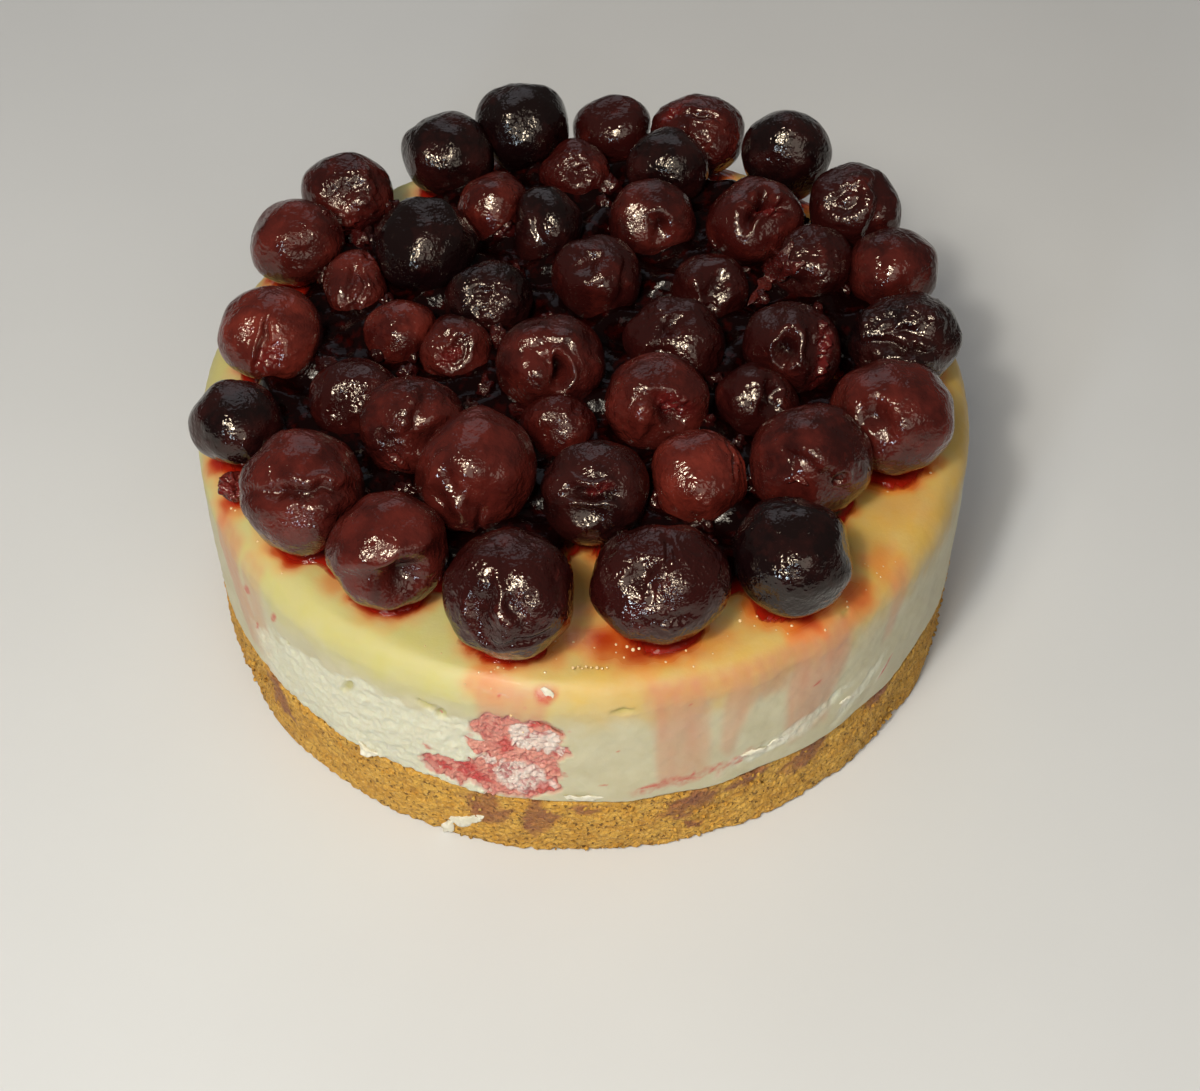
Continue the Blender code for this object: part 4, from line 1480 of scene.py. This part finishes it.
pulp_points += from_middle * (CRUMPLED * rough(pulp_points, 2.0 * MM, 93, 2)[:, None])
pulp = mesh_piece("cherry_pulp", pulp_points, *pulp_faces)
same = np.ones(len(pulp_points))
# The pulp is darkened towards near black through the shade field: painted shade of the gaps between the
# cherries.
paint(pulp, sunken=0.6 * same, flesh=0.1 + 0.1 * waves(pulp_points, 9 * MM, 94), wrinkled=0.7 * same,
      pale=0.1 * same)
pulp.data.materials.append(skins["cherry_red"])
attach(pulp, "root")
print("bits of pulp", len(chosen))

# %% [markdown]
# ## Beads of syrup
# Where syrup has crept over the cream it leaves small clear beads that catch the light, and their pale colour
# adds a painted highlight. Sparkle in the material would slide over the cream as the view moves, so the beads
# are meshes: some at random on the orange rim, and one at each bright dot that the photograph shows.

# %% Beads at the cherries' feet
BEAD_COUNT = 80
BEAD_SUNK = 0.55
draw = np.random.default_rng(101)
wet = (orange > 0.3) & (orange < 0.97) & (inside_pool < 0.1)
wet_places = np.flatnonzero(wet & (height > CAKE_HEIGHT - 2 * MM))
bead_middles = cream_points[draw.choice(wet_places, BEAD_COUNT, replace=False)]
SPARKLES = (
    (573, 667), (578, 666), (582, 668), (586, 666), (591, 667), (597, 667), (602, 668), (607, 667),
    (616, 644), (624, 657), (627, 646), (633, 649), (639, 648), (757, 616), (740, 620), (686, 650),
    (441, 653), (425, 646), (465, 684), (545, 672), (523, 732), (511, 715), (843, 606),
)
bead_middles = np.concatenate((bead_middles, [side_point(pixel) for pixel in SPARKLES]))
bead_sizes = draw.uniform(0.14, 0.36, (len(bead_middles), 1)) * np.ones(3) * MM
bead_middles[:, 2] -= BEAD_SUNK * bead_sizes[:, 0]
bead_points, bead_faces = scattered(bead(10, 5), bead_middles, bead_sizes, 0.0, 102)
beads = mesh_piece("syrup_beads", bead_points, *bead_faces)
print("beads", len(bead_middles))

# %% The beads' finish


def bead_finish():
    """Thin syrup, partly see-through, under a very glossy coat; its pale amber to near white is partly a
    painted highlight.
    """
    finish = Finish("syrup_beads_with_painted_glint")
    # Painted highlight: the beads are coloured pale so that they read as sparkles.
    colour = finish.mix(finish.noise(6 * MM, 1), tint(240, 190, 120), tint(250, 232, 190))
    finish.shade({"Base Color": colour, "Alpha": 0.7, "Roughness": 0.06, "Coat Weight": 1.0, "IOR": 1.45})
    return finish.made


beads.data.materials.append(bead_finish())
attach(beads, "root")
print("beads dressed")

# %% [markdown]
# ## Floor and light
# A plain pale floor and soft studio light keep attention on the cake. One broad lamp would be the softest,
# but wet fruit shows every lamp as a highlight, and these highlights are both broad and sparkling. So a warm
# lamp on the left gives broad patches, a small one beside it gives sparkles, and a small cool one lower down
# gives blue glints. A broad lamp in front softens the shadows, one behind lights the far rims, and a dim pale
# dome fills the rest.

# %% Floor
FLOOR_HALF = 1.6


def floor_finish():
    """A matte pale grey with the faintest mottling."""
    finish = Finish("floor")
    mottle = finish.noise(60 * MM, 3)
    colour = finish.mix(mottle, tint(204, 206, 209), tint(210, 212, 215))
    finish.shade({"Base Color": colour, "Roughness": 0.7})
    return finish.made


corners = np.array(((-1, -1, 0), (1, -1, 0), (1, 1, 0), (-1, 1, 0))) * FLOOR_HALF
floor = mesh_piece("floor", corners, np.array(((0, 1, 2, 3),)))
floor.data.materials.append(floor_finish())
print("floor of", 2 * FLOOR_HALF, "m")

# %% Lamps


def lamp(name, place, aim, size, power, colour):
    """A square area lamp at a place, turned so that it shines at a point."""
    light = bpy.data.lights.new(name, "AREA")
    light.size = size
    light.energy = power
    light.color = colour
    made = bpy.data.objects.new(name, light)
    bpy.context.scene.collection.objects.link(made)
    made.location = place
    back = (np.array(place) - np.array(aim)) / np.linalg.norm(np.array(place) - np.array(aim))
    side = np.cross((0, 0, 1), back)
    side /= np.linalg.norm(side)
    direction = Matrix(np.stack((side, np.cross(back, side), back), 1).tolist())
    made.rotation_euler = direction.to_euler()


# name, place and aim in metres, width in metres, power in watts, colour
lamp("warm_key", (-0.20, -0.42, 0.66), (0, 0, 0.05), 0.24, 3.5, (1.0, 0.91, 0.75))
lamp("glint", (-0.19, -0.42, 0.66), (0, 0, 0.05), 0.06, 1.9, (1.0, 0.94, 0.82))
lamp("cool_low", (-0.26, -0.62, 0.30), (0, 0, 0.05), 0.07, 0.8, (0.62, 0.81, 1.0))
lamp("soft_fill", (0.15, -0.56, 0.56), (0, 0, 0.04), 0.50, 1.35, (1.0, 0.96, 0.88))
lamp("back_sheen", (-0.08, 0.60, 0.56), (0, 0, 0.05), 0.50, 0.5, (0.82, 0.86, 1.0))
print("lamps", len(bpy.data.lights))

# %% Dome


class Dome(Finish):
    """The studio's pale dome, which fills the shadows: dim at the sides and brighter straight above."""

    def __init__(self, name):
        self.take(bpy.data.worlds.new(name), "Background", "Generated")
        height = self.node("ShaderNodeSeparateXYZ", {}, {0: self.place}, "Z")
        colour = self.mix(height.between(0.1, 1.0), (0.08, 0.077, 0.072, 1), (0.12, 0.117, 0.11, 1))
        self.shade({"Color": colour})


bpy.context.scene.world = Dome("studio").made
bpy.context.scene.view_settings.view_transform = "Standard"
print("dome set")

# %% [markdown]
# ## Staying inside the solids' box
# The dressed cake is meant to stay inside the solids' box, which is printed when the model is loaded. The
# cherry skins and the scraps of cream are clipped to it, and the pushes on the cream and the base are kept
# small.
